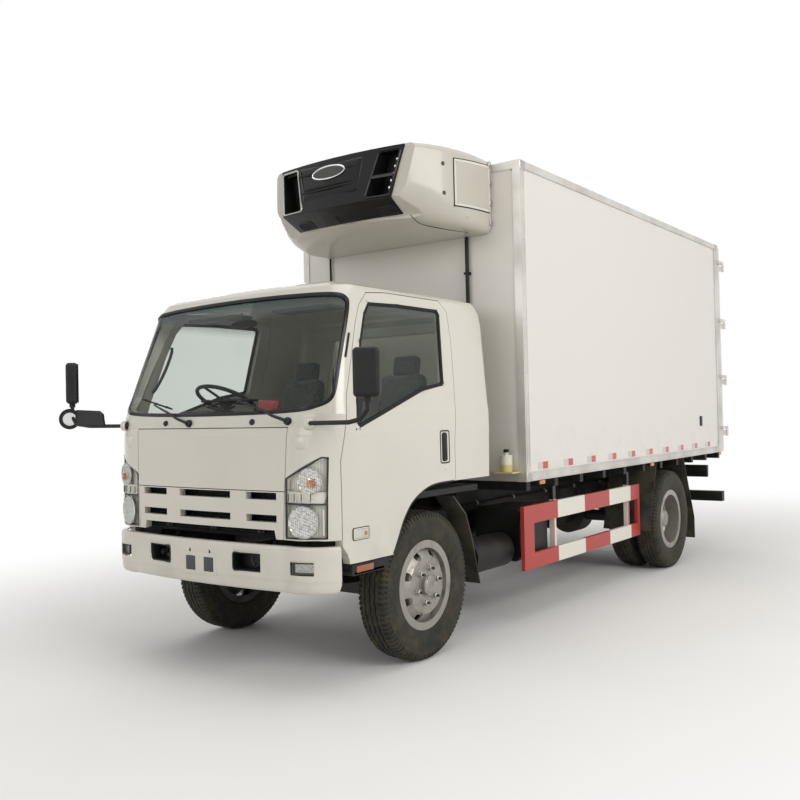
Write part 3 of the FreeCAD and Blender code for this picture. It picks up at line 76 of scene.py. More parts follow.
class Value:
    """A shader socket that takes part in arithmetic: each operator adds its Math node."""

    def __init__(self, finish, socket):
        self.finish = finish
        self.socket = socket

    def math(self, operation, *others):
        inputs = dict(enumerate((self, *others)))
        return self.finish.node("ShaderNodeMath", {"operation": operation}, inputs)

    def __add__(self, other):
        return self.math("ADD", other)

    def __sub__(self, other):
        return self.math("SUBTRACT", other)

    def __rsub__(self, other):
        return self.finish.number(other).math("SUBTRACT", self)

    def __mul__(self, other):
        return self.math("MULTIPLY", other)

    __radd__, __rmul__ = __add__, __mul__

    def __abs__(self):
        return self.math("ABSOLUTE")

    def over(self, low, high):
        """0 below low, 1 above high, and smooth between them."""
        settings = {"interpolation_type": "SMOOTHSTEP"}
        inputs = {"Value": self, "From Min": low, "From Max": high}
        return self.finish.node("ShaderNodeMapRange", settings, inputs)

    def between(self, low, high, soft=0.001):
        """1 between low and high, and 0 outside."""
        return self.over(low - soft, low + soft) * (1 - self.over(high - soft, high + soft))


class Finish:
    """The nodes of one material or world."""

    def __init__(self, owner):
        self.owner = owner
        owner.use_nodes = True
        self.tree = owner.node_tree
        self.tree.nodes.clear()

    def node(self, kind, settings=None, inputs=None, output=0):
        """A node of any kind: its settings first, then the values or links of its sockets."""
        node = self.tree.nodes.new(kind)
        for name, value in (settings or {}).items():
            setattr(node, name, value)
        for name, value in (inputs or {}).items():
            socket = node.inputs[name]
            if isinstance(value, Value):
                self.tree.links.new(value.socket, socket)
            elif socket.type == "RGBA" and len(value) == 3:
                socket.default_value = (*value, 1.0)
            else:
                socket.default_value = value
        return Value(self, node.outputs[output])

    def number(self, value):
        return self.node("ShaderNodeMath", {"operation": "ADD"}, {0: value, 1: 0.0})

    def place(self):
        """The piece's own coordinates."""
        return self.node("ShaderNodeTexCoord", output="Object")

    def axes(self):
        """x, y and z of the piece's own coordinates."""
        node = self.node("ShaderNodeSeparateXYZ", inputs={"Vector": self.place()}).socket.node
        return [Value(self, output) for output in node.outputs]

    def stretched(self, scale):
        """The piece's own coordinates with each axis scaled."""
        return self.node("ShaderNodeMapping", inputs={"Vector": self.place(), "Scale": scale})

    def noise(self, scale, detail=3.0, vector=None, rough=0.5):
        inputs = {"Vector": vector or self.place(), "Scale": scale, "Detail": detail,
                  "Roughness": rough}
        return self.node("ShaderNodeTexNoise", inputs=inputs)

    def cells(self, scale, feature="F1"):
        """Voronoi cells, by the distance from their middles or from their edges."""
        return self.node("ShaderNodeTexVoronoi", {"feature": feature},
                         {"Vector": self.place(), "Scale": scale})

    def mix(self, first, second, factor):
        """A colour between two."""
        settings = {"data_type": "RGBA"}
        return self.node("ShaderNodeMix", settings, {6: first, 7: second, 0: factor}, 2)

    def bump(self, height, distance, strength=1.0, normal=None):
        inputs = {"Height": height, "Distance": distance, "Strength": strength}
        if normal:
            inputs["Normal"] = normal
        return self.node("ShaderNodeBump", inputs=inputs)

    def seen(self):
        """1 for rays from the camera and those that gloss or glass sends on, and 0 for others."""
        outputs = self.node("ShaderNodeLightPath").socket.node.outputs
        camera, gloss, glass = (Value(self, outputs[f"Is {kind} Ray"])
                                for kind in ("Camera", "Glossy", "Transmission"))
        return camera.math("MAXIMUM", gloss).math("MAXIMUM", glass)

    def surface(self, **inputs):
        """A Principled shader as the material's output; words are split at underscores."""
        named = {name.replace("_", " ").title().replace("Ior", "IOR"): value
                 for name, value in inputs.items()}
        return self.show(self.node("ShaderNodeBsdfPrincipled", inputs=named))

    def patchy(self, clean, soiled, patch, share, rough, grain, **rest):
        """Two colours mixed by a share of a patch, which roughens too, over a fine grain."""
        scale, detail, depth = grain
        return self.surface(base_color=self.mix(clean, soiled, patch * share),
                            roughness=rough[0] + patch * rough[1],
                            normal=self.bump(self.noise(scale, detail), depth), **rest)

    def show(self, *shaders, share=None):
        """A shader, or two mixed by a share, as the output of the material or world."""
        kind = "World" if isinstance(self.owner, bpy.types.World) else "Material"
        if share:
            inputs = {0: share, 1: shaders[0], 2: shaders[1]}
            shaders = (self.node("ShaderNodeMixShader", inputs=inputs),)
        output = self.tree.nodes.new(f"ShaderNodeOutput{kind}")
        self.tree.links.new(shaders[0].socket, output.inputs["Surface"])
        return self.owner


def paint(red, green, blue):
    """A display colour, 0 to 255, as the linear colour that Blender's shaders take."""
    share = np.array((red, green, blue)) / 255
    linear = np.where(share <= 0.04045, share / 12.92, ((share + 0.055) / 1.055) ** 2.4)
    return tuple(linear.tolist())


# ---------------------------------------------------------------- finishes

FINISHES = {}


def finish_of(name):
    """The finished material of that name, made the first time that it is asked for."""
    if name not in FINISHES:
        maker, *values = MAKERS[name]
        FINISHES[name] = maker(Finish(bpy.data.materials.new(name)), *values)
    return FINISHES[name]


def lacquer(finish, rough, coat, low=1.1):
    """Sprayed body paint: orange peel, faint mottling, and road dust towards the ground."""
    colour, dirt = tuple(colours().cab), tuple(colours().dust)
    dust = (1 - finish.axes()[2].over(low - 0.65, low + 0.15)) \
        * finish.noise(5.0, 6.0).over(0.3, 0.75)
    mottle = finish.noise(1.4, 4.0).over(0.35, 0.7)
    tint = tuple(0.955 * c for c in colour)
    base = finish.mix(finish.mix(colour, tint, mottle), dirt, dust * 0.33)
    peel = finish.bump(finish.noise(420.0, 1.0), 0.00006)
    return finish.surface(base_color=base, roughness=rough + dust * 0.3, normal=peel,
                          coat_weight=coat, coat_roughness=0.08)


def box_skin(finish):
    """Glass-fibre panels: a glossy gel coat with a faint long wave in it."""
    wave = finish.noise(2.2, 2.0, finish.stretched((1.0, 0.5, 1.0)))
    grime = (1 - finish.axes()[2].over(1.1, 1.7)) * finish.noise(7.0, 5.0).over(0.35, 0.8)
    colour = tuple(colours().box)
    base = finish.mix(colour, tuple(0.9 * c for c in colour), grime * 0.6)
    normal = finish.bump(wave, 0.0012, 0.35, finish.bump(finish.noise(300.0, 2.0), 0.00005))
    return finish.surface(base_color=base, roughness=0.3 + grime * 0.2, normal=normal,
                          coat_weight=0.35, coat_roughness=0.12)


DULL = 0.28  # specular level of rubber, of worn plastic and of dusty black paint


def edge_aluminium(finish):
    """Drawn aluminium: fine lines along its length, dull patches of oxide."""
    lines = finish.noise(60.0, 4.0, finish.stretched((8.0, 0.15, 8.0)))
    patch = finish.noise(3.0, 5.0).over(0.35, 0.7)
    base = finish.mix(paint(214, 211, 206), paint(196, 192, 186), patch)
    return finish.surface(base_color=base, metallic=0.5, roughness=0.34 + patch * 0.16,
                          normal=finish.bump(lines, 0.0001))


def chassis_black(finish):
    """Satin black chassis paint under a film of dust that gathers in patches."""
    patch = finish.noise(4.0, 7.0, rough=0.65).over(0.42, 0.75)
    return finish.patchy(paint(24, 24, 24), paint(72, 67, 58), patch, 0.55, (0.48, 0.3),
                         (120.0, 3.0, 0.0003), specular_ior_level=DULL)


def cast_metal(finish):
    patch = finish.noise(6.0, 6.0).over(0.4, 0.7)
    return finish.patchy(paint(58, 57, 55), paint(92, 80, 66), patch, 0.6, (0.5, 0.25),
                         (90.0, 4.0, 0.0006), metallic=0.35)


def spring_steel(finish):
    rust = finish.noise(9.0, 8.0, rough=0.7).over(0.5, 0.78)
    return finish.patchy(paint(38, 38, 38), paint(92, 62, 42), rust, 0.7, (0.45, 0.4),
                         (150.0, 3.0, 0.0002), metallic=0.5)


def tyre_rubber(finish):
    """Rubber under a film of brown road dust, thicker in patches."""
    dust = finish.noise(14.0, 6.0, rough=0.65).over(0.38, 0.72)
    film = finish.noise(3.0, 3.0).over(0.3, 0.7)
    base = finish.mix(paint(36, 36, 34), paint(104, 96, 74), dust * 0.36 + film * 0.12)
    return finish.surface(base_color=base, roughness=0.66 + dust * 0.25,
                          specular_ior_level=DULL,
                          normal=finish.bump(finish.noise(260.0, 2.0), 0.00025))


def wheel_silver(finish):
    """Silver wheel enamel with brake dust and scuffs, and painted shade: near black inboard of the front wheels'
    faces.
    """
    x, y, _ = finish.axes()
    # painted shade: everything inboard of the front wheels' faces is painted near black, so the rim holes look
    # dark
    inside = (1 - abs(x).over(0.868, 0.884)) * (1 - y.over(-0.5, 0.5))
    dust = finish.noise(11.0, 7.0, rough=0.6).over(0.45, 0.75)
    scuff = finish.noise(45.0, 8.0, finish.stretched((1.0, 1.0, 3.0))).over(0.62, 0.7)
    base = finish.mix(paint(158, 154, 147), paint(112, 101, 86), dust * 0.5)
    base = finish.mix(base, paint(98, 94, 88), scuff * 0.5)
    base = finish.mix(base, paint(30, 29, 27), inside * 0.9)
    return finish.surface(base_color=base, metallic=0.55, roughness=0.36 + dust * 0.3,
                          normal=finish.bump(finish.noise(200.0, 2.0), 0.00015))


def clear_glass(finish, tint, haze, low=9.0, high=9.0):
    """Thin glass: light goes through tinted, and more is mirrored at low angles.

    Above low a dark blue-green comes in, and is full at high, as a sun band does."""
    band = finish.axes()[2].over(low, high)
    through = finish.node("ShaderNodeBsdfTransparent", inputs={"Color": tint})
    film = finish.noise(3.5, 5.0).over(0.45, 0.85)
    gloss = finish.node("ShaderNodeBsdfPrincipled", inputs={
        "Base Color": finish.mix(paint(150, 156, 154), paint(14, 62, 58), band),
        "Roughness": 0.03 + film * 0.04, "IOR": 1.5})
    slant = finish.node("ShaderNodeLayerWeight", inputs={"Blend": 0.5}, output=1)
    share = slant.math("POWER", 4.0) * 0.7 + film * 0.02 + band * 0.5 + haze
    return finish.show(through, gloss, share=share)


def mirror_glass(finish):
    haze = finish.noise(6.0, 4.0).over(0.3, 0.8)
    base = finish.mix(paint(214, 216, 214), paint(186, 188, 186), haze)
    return finish.surface(base_color=base, metallic=1.0, roughness=0.02 + haze * 0.05)


def moulded(finish, colour, worn, rough=0.5, size=260.0, depth=0.0002):
    """Moulded plastic: a leathery grain, and paler where it has faded."""
    fade = finish.noise(3.0, 5.0).over(0.4, 0.75)
    base = finish.mix(colour, worn, fade * 0.6)
    return finish.surface(base_color=base, roughness=rough + fade * 0.12,
                          specular_ior_level=DULL,
                          normal=finish.bump(finish.cells(size, "SMOOTH_F1"), depth))


def unit_shell(finish):
    """Gel-coated housing of the cooling unit."""
    colour = tuple(colours().unit)
    wave = finish.noise(1.6, 3.0).over(0.3, 0.75)
    base = finish.mix(colour, tuple(0.94 * c for c in colour), wave)
    return finish.surface(base_color=base, roughness=0.34 + wave * 0.06, coat_weight=0.3,
                          normal=finish.bump(finish.noise(350.0, 2.0), 0.00005))


def rubber_seal(finish):
    dust = finish.noise(8.0, 5.0).over(0.45, 0.75)
    return finish.patchy(paint(20, 20, 20), paint(58, 55, 50), dust, 0.45, (0.65, 0.2),
                         (180.0, 3.0, 0.0002), specular_ior_level=DULL)


def mudflap_rubber(finish):
    dust = finish.noise(5.0, 7.0, rough=0.6).over(0.3, 0.72)
    base = finish.mix(paint(40, 40, 39), paint(98, 91, 76), dust * 0.6)
    return finish.surface(base_color=base, roughness=0.75, specular_ior_level=DULL,
                          normal=finish.bump(dust, 0.0006))


def seat_cloth(finish):
    """Woven upholstery: two crossed sets of threads over a soft nap."""
    x, y, z = finish.axes()
    weave = (x * 1900).math("SINE") * ((y + z) * 1900).math("SINE")
    nap = finish.noise(70.0, 5.0)
    base = finish.mix(paint(74, 76, 78), paint(110, 112, 113), nap.over(0.3, 0.7) * 0.8)
    return finish.surface(base_color=base, roughness=0.86, sheen_weight=0.4,
                          normal=finish.bump(weave, 0.0004, 0.6))


def guard_stripes(finish):
    """Side guard: red and white bands along its length, on white posts that end in black."""
    x, y, z = finish.axes()
    along = y - AXLE_Y
    plate = abs(x).over(0.9665, 0.9685)
    red = (1 - along.between(1.80, 2.31) - along.between(2.83, 3.32)) * plate
    scuff = finish.noise(30.0, 8.0, rough=0.7).over(0.58, 0.7)
    base = finish.mix(paint(226, 223, 212), tuple(colours().guard), red)
    base = finish.mix(base, paint(120, 104, 92), scuff * 0.35)
    base = finish.mix(base, paint(30, 30, 30), z.over(0.885, 0.888))
    return finish.surface(base_color=base, roughness=0.36 + scuff * 0.3,
                          normal=finish.bump(finish.noise(240.0, 2.0), 0.0001))


def chrome(finish):
    spot = finish.noise(24.0, 4.0).over(0.5, 0.75)
    base = finish.mix(paint(222, 222, 220), paint(160, 158, 152), spot)
    return finish.surface(base_color=base, metallic=1.0, roughness=0.1 + spot * 0.14)


def lamp_housing(finish):
    """Metallised plastic round the bowls: silvery, with faint upright flutes and painted sheen on their crests."""
    flute_and_sheen = (finish.axes()[0] * 420).math("SINE").over(-0.8, 0.8)
    # painted sheen: the flutes' crests are lighter in colour; the same wave also bumps them
    base = finish.mix(paint(212, 209, 200), paint(228, 226, 218), flute_and_sheen)
    return finish.surface(base_color=base, metallic=0.1, roughness=0.28,
                          normal=finish.bump(flute_and_sheen, 0.0003))


def reflector_bowl(finish):
    """Stepped lamp reflector: rows of domed steps whose colour is painted reflection, bright on each step and
    darker between them and in noisy spots.
    """
    x, _, z = finish.axes()
    facets_and_glints = abs((x * 260).math("SINE") * (z * 190 + x * 60).math("SINE")).math("SQRT")
    dark_reflection_spots = finish.noise(75.0, 5.0).over(0.4, 0.66)
    # painted reflection: bright on the domes, darker between them and in spots; the same wave also bumps them
    base = finish.mix(paint(176, 174, 168), paint(240, 240, 236), facets_and_glints)
    base = finish.mix(base, paint(112, 110, 104), dark_reflection_spots * 0.55)
    return finish.surface(base_color=base, metallic=0.3, roughness=0.14,
                          normal=finish.bump(facets_and_glints, 0.002, 0.7))


def lens_colour(finish, colour, deep):
    """Coloured lens with prism bars moulded behind it."""
    _, y, z = finish.axes()
    bars = (y * 700).math("SINE") * 0.5 + (z * 700).math("SINE") * 0.5
    base = finish.mix(deep, colour, bars.over(-0.6, 0.6))
    return finish.surface(base_color=base, roughness=0.16, coat_weight=0.6,
                          normal=finish.bump(bars, 0.0004))


def honeycomb(finish, colour, deep):
    """Reflective tape: small bright cells under a clear film."""
    cells = finish.cells(220.0, "DISTANCE_TO_EDGE")
    base = finish.mix(deep, colour, cells.over(0.02, 0.14))
    return finish.surface(base_color=base, roughness=0.28, coat_weight=0.5,
                          normal=finish.bump(cells, 0.0001))


def zinc(finish):
    spangle = finish.cells(90.0).over(0.1, 0.7)
    return finish.surface(base_color=finish.mix(paint(150, 148, 143), paint(188, 186, 181),
                                                spangle),
                          metallic=0.8, roughness=0.36,
                          normal=finish.bump(finish.noise(90.0, 3.0), 0.0001))


def hose_rubber(finish):
    scuff = finish.noise(20.0, 5.0).over(0.45, 0.75)
    return finish.surface(base_color=finish.mix(paint(18, 18, 18), paint(48, 46, 43), scuff),
                          roughness=0.55, specular_ior_level=DULL,
                          normal=finish.bump(finish.noise(300.0, 2.0), 0.0003))


def bottle_milk(finish):
    """Translucent bottle with its yellow fluid showing in the lower part."""
    level = 1 - finish.axes()[2].over(1.205, 1.222)
    cloud = finish.noise(40.0, 3.0).over(0.3, 0.7)
    base = finish.mix(paint(216, 214, 200), paint(196, 178, 84), level * 0.85)
    base = finish.mix(base, paint(190, 186, 166), cloud * 0.25)
    return finish.surface(base_color=base, roughness=0.34, coat_weight=0.3,
                          normal=finish.bump(cloud, 0.0004))


MAKERS = {
    "cab_paint": (lacquer, 0.3, 0.7),
    "bumper_paint": (lacquer, 0.38, 0.45, 0.95),
    "window_glass": (clear_glass, paint(243, 245, 243), 0.035, 2.22, 2.37),
    "lamp_lens": (clear_glass, paint(252, 252, 252), 0.0),
    "black_plastic": (moulded, paint(22, 22, 23), paint(44, 43, 41), 0.42),
    "gloss_black": (moulded, paint(12, 12, 13), paint(26, 26, 26), 0.2, 500.0, 0.00002),
    "grey_plastic": (moulded, paint(74, 75, 74), paint(98, 97, 93), 0.55),
    "white_plastic": (moulded, paint(222, 219, 210), paint(204, 198, 184), 0.35, 500.0, 0.00003),
    "amber_lens": (lens_colour, paint(226, 132, 44), paint(170, 84, 22)),
    "amber_reflector": (lens_colour, paint(176, 92, 54), paint(122, 60, 34)),
    "red_lens": (lens_colour, paint(190, 34, 28), paint(128, 16, 14)),
    "tape_red": (honeycomb, paint(204, 52, 52), paint(158, 28, 30)),
    "tape_silver": (honeycomb, paint(206, 204, 200), paint(166, 164, 160))}
MAKERS.update((maker.__name__, (maker,)) for maker in (
    box_skin, edge_aluminium, chassis_black, cast_metal, spring_steel, tyre_rubber,
    wheel_silver, mirror_glass, unit_shell, rubber_seal, mudflap_rubber, seat_cloth,
    guard_stripes, chrome, reflector_bowl, lamp_housing, zinc, hose_rubber, bottle_milk))


# ---------------------------------------------------------------- surfaces

def circle(radius, steps=24):
    """Points (steps, 2) round a circle, counter-clockwise."""
    turn = np.linspace(0, 2 * np.pi, steps, endpoint=False)
    return radius * np.stack((np.cos(turn), np.sin(turn)), 1)


def floats(*values):
    """Arrays of floats, stretched to one shape."""
    return np.broadcast_arrays(*(np.asarray(value, float) for value in values))


def unit(vectors):
    """Vectors, along the last axis, brought to length one."""
    return vectors / np.linalg.norm(vectors, axis=-1, keepdims=True)


def rounded(corners, radius, steps=5):
    """A closed outline whose corners give way to arcs that touch both sides.

    The arc's centre lies on the corner's bisector, radius / sin(half the corner's angle) away."""
    corners = np.asarray(corners, float)
    back = np.roll(corners, 1, 0) - corners
    ahead = np.roll(corners, -1, 0) - corners
    lengths = np.minimum(np.hypot(*back.T), np.hypot(*ahead.T))
    back, ahead = unit(back), unit(ahead)
    half = np.arccos(np.clip((back * ahead).sum(1), -0.9999, 0.9999)) / 2
    radius = np.minimum(radius, 0.48 * lengths * np.tan(half))
    centre = corners + unit(back + ahead) * (radius / np.sin(half))[:, None]
    first = corners + back * (radius / np.tan(half))[:, None] - centre
    last = corners + ahead * (radius / np.tan(half))[:, None] - centre
    sweep = (np.pi - 2 * half)[:, None, None]
    share = np.linspace(0, 1, steps + 1)[None, :, None]
    arc = np.sin((1 - share) * sweep) * first[:, None] + np.sin(share * sweep) * last[:, None]
    outline = (centre[:, None] + arc / np.sin(sweep)).reshape(-1, 2)
    gap = np.hypot(*(outline - np.roll(outline, 1, 0)).T)
    return outline[gap > 1e-4]  # without the points that all but repeat the one before them


def oblong(width, height, radius, centre=(0.0, 0.0), steps=5):
    """A rounded rectangle about a centre."""
    w, h = width / 2, height / 2
    corners = np.array(((-w, -h), (w, -h), (w, h), (-w, h))) + np.asarray(centre)
    return rounded(corners, radius, steps)


def inset(outline, amounts):
    """The outline moved inwards by each amount, along the bisectors of its corners."""
    before = outline - np.roll(outline, 1, 0)
    after = np.roll(outline, -1, 0) - outline
    before /= np.hypot(*before.T)[:, None] + 1e-12
    after /= np.hypot(*after.T)[:, None] + 1e-12
    area = np.cross(outline, np.roll(outline, -1, 0)).sum()
    normal = np.sign(area) * np.stack((-(before + after)[:, 1], (before + after)[:, 0]), 1)
    normal *= 2 / np.maximum((normal ** 2).sum(1)[:, None], 1.0)
    return outline[None] + np.asarray(amounts, float)[:, None, None] * normal[None]


def smooth(points, steps=8, closed=False):
    """Catmull-Rom curve through points: each cubic's end slopes are half the gap about it."""
    points = np.asarray(points, float)
    if closed:
        padded = np.concatenate((points[-1:], points, points[:2]))
    else:
        first, last = 2 * points[0] - points[1], 2 * points[-1] - points[-2]
        padded = np.concatenate((first[None], points, last[None]))
    a, b, c, d = padded[:-3], padded[1:-2], padded[2:-1], padded[3:]
    t = np.linspace(0, 1, steps, endpoint=False)[None, :, None]
    a, b, c, d = (p[:, None] for p in (a, b, c, d))
    curve = 0.5 * (2 * b + (c - a) * t + (2 * a - 5 * b + 4 * c - d) * t ** 2
                   + (3 * b - a - 3 * c + d) * t ** 3)
    curve = curve.reshape(-1, points.shape[1])
    return curve if closed else np.concatenate((curve, points[-1:]))


def framed(points, origin=(0, 0, 0), x=(1, 0, 0), y=(0, 1, 0)):
    """Points of a local frame set in space: each coordinate runs along its own unit axis."""
    x, y = unit(np.asarray(x, float)), unit(np.asarray(y, float))
    return points @ np.stack((x, y, np.cross(x, y))) + np.asarray(origin, float)


def raised(rows, level):
    """Rows of flat points, each row given its own height."""
    level = np.asarray(level, float)[:, None, None]
    return np.concatenate((rows, np.broadcast_to(level, rows.shape[:2] + (1,))), 2)


def woven(rings, ends=True):
    """Quads over rings of points (rings, around, 3), closed around, with ends.

    An end is one flat face, or a fan of triangles where its ring has shrunk to a pole. The
    faces are turned outwards by the sign of the volume that they close in."""
    rings = np.asarray(rings, float)
    count, around = rings.shape[:2]
    index = np.arange(count * around).reshape(count, around)
    low, high = index[:-1], index[1:]
    faces = [np.stack((low, np.roll(low, -1, 1), np.roll(high, -1, 1), high), -1)
             .reshape(-1, 4)]
    for row, order in ((0, -1), (-1, 1)) if ends else ():
        ring = index[row][::order]
        if np.ptp(rings[row], axis=0).max() < 1e-7:
            near = index[1 if row == 0 else -2][::order]
            faces[0] = faces[0][~np.isin(faces[0], index[row]).any(1)]
            faces.append(np.stack((near, np.roll(near, -1), np.full(around, ring[0])), 1))
        else:
            faces.append(ring[None])
    return outward(rings.reshape(-1, 3), faces)


def band(rows):
    """A closed band over rows of points that each run round it, the last joined to the first."""
    loop = np.swapaxes(rows, 0, 1)
    return woven(np.concatenate((loop, loop[:1])), ends=False)


def relief(outline, across, levels, origin, x=(1, 0, 0)):
    """Rows of an upright outline's insets, each at its own level in front of the origin."""
    return framed(raised(inset(outline, across), levels), origin, x, (0, 0, 1))


def outward(points, faces):
    """The same faces, all turned round if their solid angle sum shows them inside out."""
    middle = points.mean(0)
    volume = 0.0
    for face in faces:
        corner = points[face] - middle
        for i in range(1, face.shape[1] - 1):
            volume += (corner[:, 0] * np.cross(corner[:, i], corner[:, i + 1])).sum()
    if volume < 0:
        faces = [face[:, ::-1] for face in faces]
    return points, faces


def draped(grid, facing):
    """Quads over an open grid of points (rows, columns, 3), turned to face a direction."""
    rows, columns = grid.shape[:2]
    index = np.arange(rows * columns).reshape(rows, columns)
    quads = np.stack((index[:-1, :-1], index[:-1, 1:], index[1:, 1:], index[1:, :-1]), -1)
    quads = quads.reshape(-1, 4)
    points = grid.reshape(-1, 3)
    corner = points[quads]
    normal = np.cross(corner[:, 2] - corner[:, 0], corner[:, 3] - corner[:, 1]).sum(0)
    if normal @ np.asarray(facing, float) < 0:
        quads = quads[:, ::-1]
    return points, [quads]


def thick_sheet(grid, depth, facing):
    """An open grid given a thickness: the sheet, its copy set back, and a rim that joins them.

    The rim follows the grid's border, so the whole is closed."""
    facing = np.asarray(facing, float)
    points, (front,) = draped(grid, facing)
    behind, (back,) = draped(grid - facing * depth, -facing)
    count = len(points)
    ids = np.arange(count).reshape(grid.shape[:2])
    rim = np.concatenate((ids[0, :-1], ids[:-1, -1], ids[-1, :0:-1], ids[:0:-1, 0]))
    sides = np.stack((rim, np.roll(rim, -1), np.roll(rim, -1) + count, rim + count), 1)
    middle = points.mean(0)
    points = np.concatenate((points, behind))
    corner = points[sides]
    normal = np.cross(corner[:, 1] - corner[:, 0], corner[:, 3] - corner[:, 0])
    if (normal * (corner[:, 0] - middle)).sum() < 0:
        sides = sides[:, ::-1]
    return points, [front, back + count, sides]


def slab(outline, low, high, edge=0.002, steps=3, origin=(0, 0, 0), x=(1, 0, 0), y=(0, 1, 0)):
    """An outline carried from low to high, its rims rounded by a quarter circle."""
    turn = np.linspace(0, np.pi / 2, steps + 1)
    inward = edge * (1 - np.sin(turn))
    rise = edge * (1 - np.cos(turn))
    rows = inset(np.asarray(outline, float), np.concatenate((inward, inward[::-1])))
    heights = np.concatenate((low + rise, high - rise[::-1]))
    return woven(framed(raised(rows, heights), origin, x, y))


def upright(outline, low, high, edge, steps, origin, x=(1, 0, 0)):
    """A slab whose outline stands up, with its second coordinate along z."""
    return slab(outline, low, high, edge, steps, origin, x, (0, 0, 1))


def block(low, high, edge=0.002, steps=3):
    """A box between two corners with every edge rounded."""
    low, high = np.asarray(low, float), np.asarray(high, float)
    middle, size = (low + high) / 2, high - low
    shape = oblong(size[0], size[1], min(edge * 1.5, size[:2].min() / 2.2), steps=steps)
    return slab(shape, -size[2] / 2, size[2] / 2, min(edge, size.min() / 2.2), steps, middle)


def turned(profile, origin, axis=(1, 0, 0), steps=32):
    """A profile of (radius, distance along the axis) turned through a full circle."""
    profile = np.asarray(profile, float)
    ring = circle(1.0, steps)
    rings = np.concatenate((profile[:, None, :1] * ring[None],
                            np.broadcast_to(profile[:, None, 1:], (len(profile), steps, 1))), 2)
    axis = np.asarray(axis, float)
    helper = (0, 0, 1) if abs(axis[2]) < 0.9 * np.linalg.norm(axis) else (0, 1, 0)
    x = np.cross(helper, axis)
    return woven(framed(rings, origin, x, np.cross(axis, x)))


def strip(path, outline, up):
    """A closed outline of (across, up) points carried along a path with a fixed up.

    The outline is one for the whole path, or one for each of its points."""
    path = np.asarray(path, float)
    along = np.gradient(path, axis=0)
    across = unit(np.cross(along, np.asarray(up, float)))
    above = unit(np.cross(across, along))
    outline = np.broadcast_to(outline, (len(path),) + outline.shape[-2:])
    return woven(path[:, None] + outline[..., :1] * across[:, None]
                 + outline[..., 1:] * above[:, None])


def tube(path, radius, sides=12, up=(0, 0, 1)):
    """A circle carried along a path, square to it; radius is one number or one per point."""
    radius = np.broadcast_to(radius, len(path))[:, None, None]
    return strip(path, radius * circle(1.0, sides), up)


def bolt(place, axis, across=0.018, height=0.009):
    """A hexagon head on a washer, with a chamfered crown."""
    radius = across / math.sqrt(3)
    profile = ((radius * 1.35, 0), (radius * 1.35, 0.15 * height), (radius, 0.16 * height),
               (radius, 0.86 * height), (0.82 * radius, height), (0, height))
    return turned(profile, place, axis, 6)


def screw(place, axis, radius=0.006):
    """A low domed screw head."""
    turn = np.linspace(0, np.pi / 2, 5)
    profile = np.stack((radius * np.cos(turn), 0.45 * radius * np.sin(turn)), 1)
    return turned(np.concatenate(((((radius, -0.002)),), profile)), place, axis, 16)


class Shape:
    """Surfaces gathered into one mesh; each surface keeps its own finish."""

    def __init__(self, name):
        self.name = name
        self.points, self.faces, self.picks, self.finishes = [], [], [], []
        self.count = 0

    def add(self, surface, finish):
        points, faces = surface
        if finish not in self.finishes:
            self.finishes.append(finish)
        self.points.append(points)
        for face in faces:
            self.faces.append(face + self.count)
            self.picks.append(np.full(len(face), self.finishes.index(finish)))
        self.count += len(points)

    def box(self, finish, x, y, z, edge=0.002, steps=3, side=1):
        """A block between pairs of x, y and z; side -1 mirrors it to the right."""
        x = sorted(side * value for value in x)
        self.add(block(at(x[0], y[0], z[0]), at(x[1], y[1], z[1]), edge, steps), finish)

    def make(self, body, replaces=(), sharp=32):
        """The finished object, riding on a body of the frame."""
        if not self.count:
            raise RuntimeError(f"{self.name} has no surfaces")
        mesh = bpy.data.meshes.new(self.name)
        loops = np.concatenate([face.ravel() for face in self.faces]).astype(np.int32)
        sizes = np.concatenate([np.full(len(face), face.shape[1]) for face in self.faces])
        mesh.vertices.add(self.count)
        mesh.vertices.foreach_set("co", np.concatenate(self.points).astype(np.float32).ravel())
        mesh.loops.add(len(loops))
        mesh.loops.foreach_set("vertex_index", loops)
        mesh.polygons.add(len(sizes))
        mesh.polygons.foreach_set("loop_start", (np.cumsum(sizes) - sizes).astype(np.int32))
        for finish in self.finishes:
            mesh.materials.append(finish_of(finish))
        mesh.polygons.foreach_set("material_index", np.concatenate(self.picks).astype(np.int32))
        mesh.update(calc_edges=True)
        mesh.validate()
        mesh.shade_smooth()
        mesh.set_sharp_from_angle(angle=math.radians(sharp))
        piece = bpy.data.objects.new(self.name, mesh)
        bpy.context.scene.collection.objects.link(piece)
        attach(piece, body)
        if replaces:
            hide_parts(*replaces)
        return piece


# ---------------------------------------------------------------- the cab's skin

def arc_through(first, middle, last, steps):
    """Points of the circle through three points; its centre is where two bisectors cross."""
    first, middle, last = (np.asarray(p, float) for p in (first, middle, last))
    sides = 2 * np.array((middle - first, last - middle))
    squares = np.array((middle @ middle - first @ first, last @ last - middle @ middle))
    centre = np.linalg.solve(sides, squares)
    angles = np.unwrap([math.atan2(*(p - centre)[::-1]) for p in (first, middle, last)])
    turn = np.linspace(angles[0], angles[2], steps)
    radius = np.linalg.norm(first - centre)
    return centre + radius * np.stack((np.cos(turn), np.sin(turn)), 1)


def cab_plan(half, nose, brow_x, brow_y, cheek):
    """The cab's outline at one height from the right cheek round the nose to the left one."""
    bulge = (brow_x + 0.72 * (half - brow_x), cheek + 0.72 * (brow_y - cheek))
    front = arc_through((-brow_x, brow_y), (0, nose), (brow_x, brow_y), 61)
    corner = arc_through((brow_x, brow_y), bulge, (half, cheek), 31)
    return np.concatenate((corner[:0:-1] * (-1, 1), front, corner[1:]))


